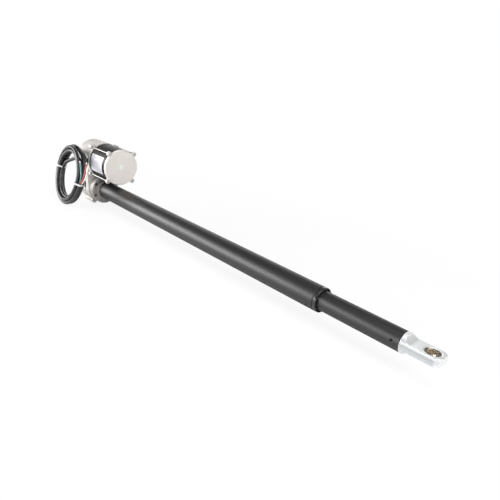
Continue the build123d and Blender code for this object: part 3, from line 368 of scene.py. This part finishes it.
def boltFinish():
    # plated bolts: dull shafts, brighter and rougher heads
    finish = Finish("boltSteel", metallic=1.0)
    scratch = finish.scratches(bolt["scratches"], scratched["stretch"])
    along = finish.axis(finish.place(), "X")
    head = finish.ramp(along, bolt["headFrom"] - bolt["headFade"], bolt["headFrom"])
    edge = finish.edges(scratched["edge"])
    share = head * (bolt["headShare"] + scratch * bolt["scratchShare"])
    base = finish.mix(share, bolt["shaft"], bolt["head"])
    finish.set("baseColor", finish.mix(edge * scratched["edgeShare"], base, bolt["bright"]))
    finish.set("roughness", bolt["rough"] + (scratch * bolt["scratchRough"] + head * bolt["headRough"]))
    finish.bump(scratch, scratched["depth"], strength=0.4, edge=scratched["bevel"])
    return finish.material


# plastics, rubber, paper and carbon: colour, roughness, scale of the texture
plastic = dict(
    blackNylon=((0.020, 0.020, 0.021), 0.44, 900.0),
    whiteNylon=((0.52, 0.52, 0.515), 0.42, 700.0),
    sealRubber=((0.012, 0.012, 0.012), 0.62, 1100.0),
    collarBlack=((0.012, 0.012, 0.013), 0.20, 700.0),
    cableJacket=((0.0095, 0.0095, 0.0115), 0.29, 1300.0),
    tealWire=((0.075, 0.22, 0.22), 0.38, 1100.0),
    redWire=((0.30, 0.036, 0.028), 0.38, 1100.0),
    whiteWire=((0.72, 0.62, 0.60), 0.40, 1100.0),
    blackWire=((0.020, 0.020, 0.022), 0.38, 1100.0),
    gasketFibre=((0.16, 0.15, 0.13), 0.85, 700.0),
    ferrite=((0.055, 0.052, 0.050), 0.60, 500.0),
    carbon=((0.030, 0.029, 0.029), 0.52, 900.0),
)
# mottling, texture and smudges of all of these
moulded = dict(lighterGain=1.25, lighterLift=0.012, darkerGain=0.78, mottle=110.0, mottleShare=0.6,
               textureShare=0.3, smudges=(45.0, 0.42, 0.7, 5.0, 0.65), smudgeRough=0.14,
               textureRough=0.05, depth=0.00004)


def plasticFinish(name):
    # moulded or drawn plastic: faint mottling, a fine matt texture, smudges in the gloss
    colour, rough, grain = plastic[name]
    finish = Finish(name)
    mottle = finish.noise(moulded["mottle"], detail=4.0)
    texture = finish.noise(grain, detail=2.0)
    smudge = finish.patches(*moulded["smudges"])
    lighter = tuple(min(1.0, part * moulded["lighterGain"] + moulded["lighterLift"]) for part in colour)
    darker = tuple(part * moulded["darkerGain"] for part in colour)
    share = mottle * moulded["mottleShare"] + texture * moulded["textureShare"]
    finish.set("baseColor", finish.mix(share, darker, lighter))
    matt = smudge * moulded["smudgeRough"] + texture * moulded["textureRough"]
    finish.set("roughness", rough + matt)
    finish.bump(texture, moulded["depth"], strength=0.35, edge=0.0003)
    return finish.material


# label plate; start, end, low and high are its border's widths
label = dict(sheet=(0.60, 0.605, 0.655), warm=(0.64, 0.65, 0.685), frame=(0.007, 0.007, 0.0075),
             start=0.0006, end=0.0085, low=0.003, high=0.0035, fade=0.0004, mottle=30.0,
             scuffs=(300.0, 0.5, 0.8, 6.0, 0.7),
             warmShare=0.3, rough=0.46, fieldRough=-0.1, scuffRough=0.2, relief=800.0, depth=0.00001)


def labelFinish():
    # satin foil: a pale field in a dark border, with a soft sheen and tiny scuffs
    low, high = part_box("label_plate")
    finish = Finish("labelSheet", coatWeight=0.08, coatRoughness=0.35, specularIorLevel=0.4)
    along = finish.axis(finish.place(), "X")
    upward = finish.axis(finish.place(), "Z")
    sides = [(along - low[0], label["start"]), (high[0] - along, label["end"]),
             (upward - low[2], label["low"]), (high[2] - upward, label["high"])]
    field = 1.0
    for distance, margin in sides:
        field = finish.ramp(distance, margin, margin + label["fade"]) * field
    scuff = finish.patches(*label["scuffs"])
    warmth = finish.noise(label["mottle"]) * label["warmShare"] + scuff * label["warmShare"]
    sheet = finish.mix(warmth, label["sheet"], label["warm"])
    finish.set("baseColor", finish.mix(field, label["frame"], sheet))
    sheen = field * label["fieldRough"] + scuff * label["scuffRough"]
    finish.set("roughness", label["rough"] + sheen)
    finish.bump(finish.noise(label["relief"]), label["depth"], strength=0.3)
    return finish.material


finishes = dict(
    castAluminium=castFinish("castAluminium"),
    # the flange: the same casting darkened all over, a painted shade under the can
    flangeInPaintedShade=castFinish("flangeInPaintedShade", casting["flangeShadeTone"]),
    turnedCap=turnedFinish(),
    canPaint=paintFinish("canPaint", paint["canRough"]),
    tubePaint=paintFinish("tubePaint", paint["tubeRough"]),
    rodEndMetal=rodEndFinish(),
    boltSteel=boltFinish(),
    labelSheet=labelFinish(),
)
finishes.update((name, steelFinish(name)) for name in steel)
finishes.update((name, plasticFinish(name)) for name in plastic)

nodeFinishes = dict(
    castAluminium=("gear_housing", "rear_cover"),
    flangeInPaintedShade=("tube_flange",),
    turnedCap=("motor_end_cap",),
    canPaint=("motor_can",),
    tubePaint=("outer_tube", "inner_tube"),
    boltSteel=("through_bolts",),
    zincSteel=("cover_screws", "race_clips"),
    screwSteel=("flange_screws",),
    blackSteel=("lock_screw", "rod_pins"),
    bearingSteel=("motor_rear_bearing", "motor_front_bearing", "screw_front_bearing", "screw_rear_bearing",
                  "motor_shaft", "idler_pin", "gear_key", "screw_spacers", "screw_stop"),
    gearSteel=("motor_pinion", "idler_gear", "screw_gear", "lead_screw"),
    bronze=("idler_bushes", "drive_nut", "guide_bush"),
    copper=("armature_windings", "commutator"),
    coreSteel=("armature_core",),
    ferrite=("stator_magnets",),
    carbon=("carbon_brushes",),
    gasketFibre=("cover_gasket", "flange_gasket"),
    blackNylon=("brush_holder", "cable_gland", "gland_nut"),
    collarBlack=("end_collar",),
    whiteNylon=("glide_ring", "cable_tie_upper", "cable_tie_lower"),
    sealRubber=("wiper_seal",),
    rodEndMetal=("rod_end",),
    raceSteel=("bearing_race",),
    ballSteel=("bearing_ball",),
    labelSheet=("label_plate",),
)
for finishName, names in nodeFinishes.items():
    for name in names:
        for slot in nodes[name].material_slots:
            slot.material = finishes[finishName]
print("finishes on", sum(len(names) for names in nodeFinishes.values()), "nodes")

# surfaces from grids of points: distances within which points merge, and the angle of a sharp edge
weld = dict(points=1e-6, slivers=1e-7, crease=35.0)


def unit(direction):
    return direction / np.linalg.norm(direction)


def gridFaces(rows, columns, loopRows, loopColumns):
    # the four corner numbers of every cell; a looped side joins its last line to its first
    index = np.arange(rows * columns).reshape(rows, columns)
    if loopRows:
        index = np.vstack([index, index[:1]])
    if loopColumns:
        index = np.hstack([index, index[:, :1]])
    corners = [index[:-1, :-1], index[1:, :-1], index[1:, 1:], index[:-1, 1:]]
    return np.stack(corners, axis=-1).reshape(-1, 4)


def makePiece(name, grids, finish, body, crease=weld["crease"]):
    # grids: (points of rows by columns, loop of rows, loop of columns); each becomes a closed shell
    points, faces, start = [], [], 0
    for grid, loopRows, loopColumns in grids:
        rows, columns = grid.shape[:2]
        faces.append(gridFaces(rows, columns, loopRows, loopColumns) + start)
        points.append(grid.reshape(-1, 3))
        start += rows * columns
    mesh = bpy.data.meshes.new(name)
    mesh.from_pydata(np.concatenate(points).tolist(), [], np.concatenate(faces).tolist())
    shell = bmesh.new()
    shell.from_mesh(mesh)
    bmesh.ops.remove_doubles(shell, verts=shell.verts, dist=weld["points"])
    bmesh.ops.dissolve_degenerate(shell, edges=shell.edges, dist=weld["slivers"])
    bmesh.ops.recalc_face_normals(shell, faces=shell.faces)
    shell.to_mesh(mesh)
    shell.free()
    mesh.polygons.foreach_set("use_smooth", np.ones(len(mesh.polygons), bool))
    mesh.set_sharp_from_angle(angle=radians(crease))
    mesh.materials.append(finishes[finish])
    piece = addObject(name, mesh)
    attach(piece, body)
    return piece


def revolved(profile, origin, axis, side, segments=48, lobes=0, lobeDepth=0.0):
    # profile of (distance along, radius) turned about the axis: origin + along + radius * (cos, sin)
    profile = np.array(profile, float)
    axis = np.array(axis, float)
    side = np.array(side, float)
    other = np.cross(axis, side)
    turn = np.linspace(0, 2 * pi, segments, endpoint=False)
    scale = 1 + lobeDepth * np.cos(lobes * turn)
    around = (np.cos(turn)[:, None] * side + np.sin(turn)[:, None] * other) * scale[:, None]
    grid = (np.array(origin, float) + profile[:, None, :1] * axis
            + profile[:, None, 1:] * around[None, :, :])
    return grid, False, True


# cable and its coil: a bundle of five strands on a leaning ring, one turn of it hanging loose
coil = dict(centre=(-0.052, -0.080, 0.03255), radius=0.067, yaw=4.0, lean=9.0, thickness=0.009,
            startAngle=89.3, endAngle=1798.0, strands=5, strandOffset=0.00775, firstStrand=10.0, perTurn=24,
            looseTurn=1, looseFrom=48.0, looseTo=174.0, looseDepth=0.020, looseShape=1.2)
cordDetail = dict(round=6, along=8, measured=24)
leadRoute = [(-0.0254, -0.0556, 0.08275), (-0.036, -0.0582, 0.09605)]

yaw, lean = radians(coil["yaw"]), radians(coil["lean"])
coilAcross = np.array((cos(yaw), -sin(yaw), 0))
coilNormal = np.array((sin(yaw) * cos(lean), cos(yaw) * cos(lean), -sin(lean)))  # towards the gearbox
coilUp = np.cross(coilAcross, coilNormal)


def coilPoints(angles, radial, normal):
    # centre + (ring radius + radial) along the spoke at each angle + normal off the ring's plane
    turn = np.radians(angles)[:, None]
    spoke = np.cos(turn) * coilAcross + np.sin(turn) * coilUp
    reach = (coil["radius"] + np.asarray(radial))[:, None]
    return np.array(coil["centre"]) + reach * spoke + np.asarray(normal)[:, None] * coilNormal


def strandPlaces(angles):
    # each turn lies one corner further round a five-sided bundle
    turns = (angles - coil["startAngle"]) / 360
    corner = np.radians(coil["firstStrand"] + 360 / coil["strands"] * turns)
    return coil["strandOffset"] * np.cos(corner), coil["strandOffset"] * np.sin(corner)


def coilRoute():
    # even steps round the ring; the loose turn is drawn inwards by a rounded sine of its share
    step = 360 / coil["perTurn"]
    angles = np.arange(coil["startAngle"], coil["endAngle"] + 0.5 * step, step)
    angles[-1] = coil["endAngle"]
    radial, normal = strandPlaces(angles)
    looseFrom = coil["looseFrom"] + 360 * (coil["looseTurn"] + 1)
    share = np.clip((angles - looseFrom) / (coil["looseTo"] - coil["looseFrom"]), 0, 1)
    radial = radial - coil["looseDepth"] * np.sin(pi * share) ** coil["looseShape"]
    outer = (coil["radius"] + radial) / cos(radians(step / 2)) - coil["radius"]
    return coilPoints(angles, outer, normal)


def smoothCurve(name, points):
    # one open spline whose control points are the route's, and which reaches both ends
    curve = bpy.data.curves.new(name, "CURVE")
    curve.dimensions = "3D"
    spline = curve.splines.new("NURBS")
    spline.points.add(len(points) - 1)
    spline.points.foreach_set("co", np.hstack([points, np.ones((len(points), 1))]).ravel())
    spline.order_u = 3
    spline.use_endpoint_u = True
    return curve


def makeCord(name, points, thickness, finish):
    # round cord: a circle of half the thickness carried along the smooth line
    curve = smoothCurve(name, points)
    curve.bevel_depth = thickness / 2
    curve.bevel_resolution = cordDetail["round"]
    curve.resolution_u = cordDetail["along"]
    curve.use_fill_caps = True
    curve.materials.append(finishes[finish])
    cord = addObject(name, curve)
    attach(cord, "frame")
    return cord


def splineLength(points):
    # sum of the steps along the smooth line through a route's control points
    curve = smoothCurve("measure", points)
    curve.resolution_u = cordDetail["measured"]
    holder = addObject("measure", curve)
    bpy.context.view_layer.update()
    line = bpy.data.meshes.new_from_object(holder.evaluated_get(bpy.context.evaluated_depsgraph_get()))
    places = np.zeros(len(line.vertices) * 3)
    line.vertices.foreach_get("co", places)
    steps = np.diff(places.reshape(-1, 3), axis=0)
    bpy.data.objects.remove(holder)
    bpy.data.curves.remove(curve)
    bpy.data.meshes.remove(line)
    return float(np.linalg.norm(steps, axis=1).sum())


leadPoints = np.vstack([leadRoute, coilRoute()])
lead = makeCord("leadAndCoil", leadPoints, coil["thickness"], "cableJacket")
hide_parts("lead_cable", "cable_coil")

# ties round the bundle; an angle is the tie's place on the ring, bevel a share of the thickness
tieSize = dict(width=0.0045, thickness=0.0012, gap=0.0001, bevel=0.3, segments=96,
               angles=dict(upper=171.5, lower=-8.0))


def makeTie(place):
    # band round the bundle: the outline of five touching circles, its corners rounded by the cable
    angle = tieSize["angles"][place]
    firstAngle = angle if angle > coil["startAngle"] else angle + 360
    radial, normal = strandPlaces(firstAngle + 360 * np.arange(coil["strands"]))
    turn = np.linspace(0, 2 * pi, tieSize["segments"], endpoint=False)
    reach = radial[:, None] * np.cos(turn) + normal[:, None] * np.sin(turn)
    far = reach.argmax(axis=0)
    outline = np.stack([radial[far], normal[far]], axis=1)
    outward = np.stack([np.cos(turn), np.sin(turn)], axis=1)
    inside = coil["thickness"] / 2 + tieSize["gap"]
    outside = inside + tieSize["thickness"]
    half = tieSize["width"] / 2
    edge = tieSize["thickness"] * tieSize["bevel"]
    section = np.array([(inside, -half), (inside, half), (outside - edge, half), (outside, half - edge),
                        (outside, edge - half), (outside - edge, -half)])
    spoke = cos(radians(angle)) * coilAcross + sin(radians(angle)) * coilUp
    onward = cos(radians(angle)) * coilUp - sin(radians(angle)) * coilAcross
    centre = np.array(coil["centre"]) + coil["radius"] * spoke
    flat = outline + section[:, None, :1] * outward
    band = centre + flat[..., :1] * spoke + flat[..., 1:] * coilNormal + section[:, None, 1:] * onward
    piece = makePiece("tieBand" + place.title(), [(band, True, True)], "whiteNylon", "frame")
    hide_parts("cable_tie_" + place)
    return piece


ties = [makeTie(place) for place in tieSize["angles"]]
leadLength = splineLength(leadPoints)
print("cable of", round(leadLength, 3), "m coiled")

# loose wires, each from its lower end to its bare tip
wires = dict(
    teal=[(0.0195, -0.088, 0.02435), (0.0285, -0.0895, 0.03605), (0.0285, -0.0885, 0.05305),
          (0.0165, -0.086, 0.0765)],
    red=[(0.0235, -0.0885, 0.02405), (0.031, -0.0865, 0.03605), (0.038, -0.0835, 0.05205),
         (0.0345, -0.0785, 0.0775)],
    white=[(0.0235, -0.085, 0.02405), (0.0335, -0.0835, 0.03405), (0.0415, -0.0805, 0.05105),
           (0.0385, -0.0755, 0.0765)],
    black=[(0.020, -0.085, 0.02405), (0.0275, -0.0805, 0.0345), (0.0375, -0.080, 0.0355),
           (0.0395, -0.082, 0.0215)],
)
wireThickness = 0.0034
wireTip = dict(bare=0.006, root=0.001, strands=7, strandRadius=0.00045, ringRadius=0.0009, segments=10)


def makeWire(colour, route):
    # wire, and a tip of round strands: one in the middle and the others in a ring about it
    points = np.array(route)
    wire = makeCord("wire" + colour.title(), points, wireThickness, colour + "Wire")
    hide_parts("wire_" + colour)
    onward = unit(points[-1] - points[-2])
    side = unit(np.cross(onward, (0, 1, 0)))
    other = np.cross(onward, side)
    bare, root, radius = wireTip["bare"], wireTip["root"], wireTip["strandRadius"]
    profile = [(-root, 0), (-root, radius), (bare - radius, radius), (bare, 0)]
    strands = []
    for strand in range(wireTip["strands"]):
        turn = 2 * pi * strand / (wireTip["strands"] - 1)
        offset = 0 if strand == 0 else wireTip["ringRadius"]
        origin = points[-1] + offset * (cos(turn) * side + sin(turn) * other)
        strands.append(revolved(profile, origin, onward, side, wireTip["segments"]))
    tip = makePiece("bareTip" + colour.title(), strands, "tinned", "frame")
    splineLength(np.array(route))


for colour, route in wires.items():
    makeWire(colour, route)
print("wires made")

# gland along the bell's flank, with a ribbed sleeve where the cable leaves it; distances along it are
# counted from the nut's face, and nutFace is (back from the face, in from the rim)
gland = dict(length=0.0206, radius=0.0055, domeSteps=9, flank=0.0004, grooveStart=-0.0130, grooveEnd=-0.0116,
             grooveDepth=0.0005, neckLength=0.0018, neckDepth=0.0007, nut=0.006, nutLength=0.004,
             nutBore=0.0046, nutFace=[(0.0008, 0.0), (0.0002, 0.0005), (0.0, 0.0012)], knurls=12,
             knurlDepth=0.018, nutSegments=72, plugRadius=0.0028, plugBack=0.0072, plugLength=0.0085,
             plugSegments=24, sleeve=0.011, sleeveRadius=0.0058, sleeveBore=0.004, sleeveGap=0.0002,
             sleeveSteps=41, ribs=4, ribDepth=0.00028)


def makeGlandBody(leadStart, onward, side):
    # tube with a domed back, a groove and a neck, and a plug that goes into the bell's wall
    back, front, radius = -gland["length"], -gland["nutLength"], gland["radius"]
    flank, neck = gland["flank"], radius - gland["neckDepth"]
    grooveStart, grooveEnd, groove = gland["grooveStart"], gland["grooveEnd"], radius - gland["grooveDepth"]
    dome = np.linspace(0, pi / 2, gland["domeSteps"])
    profile = [(back - radius * cos(turn), radius * sin(turn)) for turn in dome]
    profile += [(grooveStart, radius), (grooveStart + flank, groove), (grooveEnd - flank, groove),
                (grooveEnd, radius), (front - gland["neckLength"] - flank, radius),
                (front - gland["neckLength"], neck), (front, neck), (front, 0)]
    outward = np.array((0, leadStart[1], leadStart[2] - motorLevel))
    outward = unit(outward - outward.dot(onward) * onward)
    plugTop = leadStart - gland["plugBack"] * onward
    plugEnd, plugRadius = -gland["plugLength"], gland["plugRadius"]
    plug = [(0, 0), (0, plugRadius), (plugEnd, plugRadius), (plugEnd, 0)]
    shells = [revolved(profile, leadStart, onward, side),
              revolved(plug, plugTop, outward, onward, gland["plugSegments"])]
    shell = makePiece("glandBody", shells, "blackNylon", "frame")
    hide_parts("cable_gland")


def makeGlandNut(leadStart, onward, side):
    # ring with a rounded face; its radius swells with the cosine of the turn for the knurls
    back, bore, rim, flank = -gland["nutLength"], gland["nutBore"], gland["nut"], gland["flank"]
    face = [(-distance, rim - inward) for distance, inward in gland["nutFace"]]
    profile = [(back, bore), (back, rim - flank), (back + flank, rim), *face, (0, bore)]
    ring = revolved(profile, leadStart, onward, side, gland["nutSegments"], gland["knurls"],
                    gland["knurlDepth"])
    crown = makePiece("glandNut", [ring], "blackNylon", "frame")
    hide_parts("gland_nut")


def makeGlandSleeve(leadStart, onward, side):
    # taper from the sleeve's radius to the cable's, with cosine ribs that fade towards its tip
    along = np.linspace(0, 1, gland["sleeveSteps"])
    tipRadius = coil["thickness"] / 2 + gland["sleeveGap"]
    slope = gland["sleeveRadius"] * (1 - along) + tipRadius * along
    ripple = gland["ribDepth"] * (1 - along) * np.cos(2 * pi * gland["ribs"] * along)
    taper = np.stack([along * gland["sleeve"], slope + ripple], axis=1)
    taper = np.vstack([taper, [(gland["sleeve"], gland["sleeveBore"]), (0.0, gland["sleeveBore"])]])
    points, loopRows, loopColumns = revolved(taper, leadStart, onward, side)
    makePiece("glandSleeve", [(points, True, True)], "blackNylon", "frame")


# each piece is its profile turned about the cable's first run
glandStart = np.array(leadRoute[0])
glandAxis = unit(np.array(leadRoute[1]) - glandStart)
glandSide = unit(np.cross(glandAxis, (1, 0, 0)))
makeGlandBody(glandStart, glandAxis, glandSide)
makeGlandNut(glandStart, glandAxis, glandSide)
makeGlandSleeve(glandStart, glandAxis, glandSide)
print("gland made")

# end collar: a groove where it meets the tube, four slots in its mouth
collar = dict(start=0.711, seam=0.731, end=0.739, outer=0.02245, spigot=0.01948, throat=0.0195, bore=0.018,
              seat=0.002, groove=0.0011, grooveDepth=0.0012, grooveBevel=0.0003, bevel=0.0009, mouth=0.0203,
              flare=0.0007, slots=4, slotTurn=65.0, slotHalf=6.4, slotWall=0.3, slotDepth=0.003, segments=96,
              crease=28.0)


def makeCollar():
    # profile turned about the tube's axis; inside a slot no point lies beyond the slot's floor
    start, seam, end, seat = collar["start"], collar["seam"], collar["end"], collar["seam"] + collar["seat"]
    outer, bevel, grooveBevel = collar["outer"], collar["bevel"], collar["grooveBevel"]
    grooveEnd, bottom = seam + collar["groove"], outer - collar["grooveDepth"]
    slotFloor = end - collar["slotDepth"]
    profile = [(start, collar["spigot"]), (seam, collar["spigot"]), (seam, bottom), (grooveEnd, bottom),
               (grooveEnd, outer - grooveBevel), (grooveEnd + grooveBevel, outer), (slotFloor, outer),
               (end - bevel, outer), (end - bevel / 3, outer - bevel / 3), (end, outer - bevel),
               (end, collar["mouth"] + collar["flare"]), (end - collar["flare"], collar["mouth"]),
               (seat, collar["throat"]), (seat, collar["bore"]), (start, collar["bore"])]
    profile = np.array(profile)
    centres = collar["slotTurn"] + 360 / collar["slots"] * np.arange(collar["slots"])
    half, wall = collar["slotHalf"], collar["slotWall"]
    sides = [(centres + offset) % 360 for offset in (-half - wall, -half, half, half + wall)]
    turn = np.unique(np.concatenate([np.linspace(0, 360, collar["segments"], endpoint=False), *sides]))
    away = np.abs((turn[:, None] - centres + 180) % 360 - 180).min(axis=1)
    floor = np.where(away < half + wall / 2, slotFloor, end)
    along = np.minimum(profile[:, :1], floor)
    radius = np.broadcast_to(profile[:, 1:], along.shape)
    angle = np.radians(turn)
    grid = np.stack([along, radius * np.cos(angle), radius * np.sin(angle)], axis=-1)
    mouth = makePiece("collarMouth", [(grid, True, True)], "collarBlack", "frame",
                      collar["crease"])
    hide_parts("end_collar")


makeCollar()
print("collar made")

# floor, backdrop and lights
studio = dict(floorColour=(0.93, 0.93, 0.93), floorRough=0.9, floorShine=0.1, floorReach=6.0, floorWhite=0.86,
              fadeStretch=(0.6, 1, 0), fadeFrom=0.35, fadeTo=0.9, ambient=0.2)
lamps = dict(
    left=dict(place=(-1.45, -1.75, 0.30), target=(0.25, 0, 0.02), size=(2.1, 0.9), power=90.0),
    fill=dict(place=(0.45, -2.0, 0.3), target=(0.05, 0, 0.05), size=(0.9, 0.7), power=16.0),
    front=dict(place=(3.1, -0.95, 1.4), target=(0.2, 0, 0.05), size=(1.6, 1.6), power=56.0),
    top=dict(place=(1.1, -0.3, 2.2), target=(0.5, 0, 0), size=(1.6, 1.2), power=26.0),
    back=dict(place=(-1.5, 2.1, 0.95), target=(0.5, 0, 0), size=(3.4, 1.5), power=31.0),
)


def makeFloor():
    # a wide sheet just under the object; the camera sees it white, with the object's shadow near it
    finish = Finish("floorPaper", baseColor=studio["floorColour"], roughness=studio["floorRough"],
                    specularIorLevel=studio["floorShine"])
    white = finish.add("Emission", {}, {"Color": (1.0, 1.0, 1.0), "Strength": 1.0})
    path = finish.add("LightPath", {}, {}, "Is Camera Ray")
    middle = ((cadBounds[0][0] + cadBounds[1][0]) / 2, 0, 0)
    distance = finish.vector("LENGTH", finish.place(middle, studio["fadeStretch"]), output="Value")
    fade = finish.ramp(distance, studio["fadeFrom"], studio["fadeTo"])
    share = path * (fade * (1 - studio["floorWhite"]) + studio["floorWhite"])
    paper = Signal(finish, finish.shader.outputs[0])
    finish.feed(finish.surface, finish.add("MixShader", {}, {0: share, 1: paper, 2: white}))
    mesh = bpy.data.meshes.new("floor")
    reach = studio["floorReach"]
    corners = [(-reach, -reach, floorLevel), (reach, -reach, floorLevel), (reach, reach, floorLevel),
               (-reach, reach, floorLevel)]
    mesh.from_pydata(corners, [], [(0, 1, 2, 3)])
    mesh.materials.append(finish.material)
    floor = addObject("floor", mesh)


def makeWorld():
    # white where the camera looks at it, a softer grey as light
    world = bpy.data.worlds.new("studio")
    world.use_nodes = True
    tree = world.node_tree
    tree.nodes.clear()
    output = tree.nodes.new("ShaderNodeOutputWorld")
    path = tree.nodes.new("ShaderNodeLightPath")
    strength = tree.nodes.new("ShaderNodeMapRange")
    strength.inputs["To Min"].default_value = studio["ambient"]
    strength.inputs["To Max"].default_value = 1.0
    tree.links.new(path.outputs["Is Camera Ray"], strength.inputs["Value"])
    sky = tree.nodes.new("ShaderNodeBackground")
    sky.inputs["Color"].default_value = (1, 1, 1, 1)
    tree.links.new(strength.outputs[0], sky.inputs["Strength"])
    tree.links.new(sky.outputs[0], output.inputs["Surface"])
    bpy.context.scene.world = world


def makeLamp(name, values):
    data = bpy.data.lights.new(name, "AREA")
    data.shape = "RECTANGLE"
    data.size, data.size_y = values["size"]
    data.energy = values["power"]
    lamp = addObject(name, data)
    place = Vector(values["place"])
    away = place - Vector(values["target"])
    lamp.matrix_world = Matrix.Translation(place) @ away.to_track_quat("Z", "Y").to_matrix().to_4x4()


makeFloor()
makeWorld()
for name, values in lamps.items():
    makeLamp(name, values)
bpy.context.scene.view_settings.view_transform = "Standard"
print("studio lit")
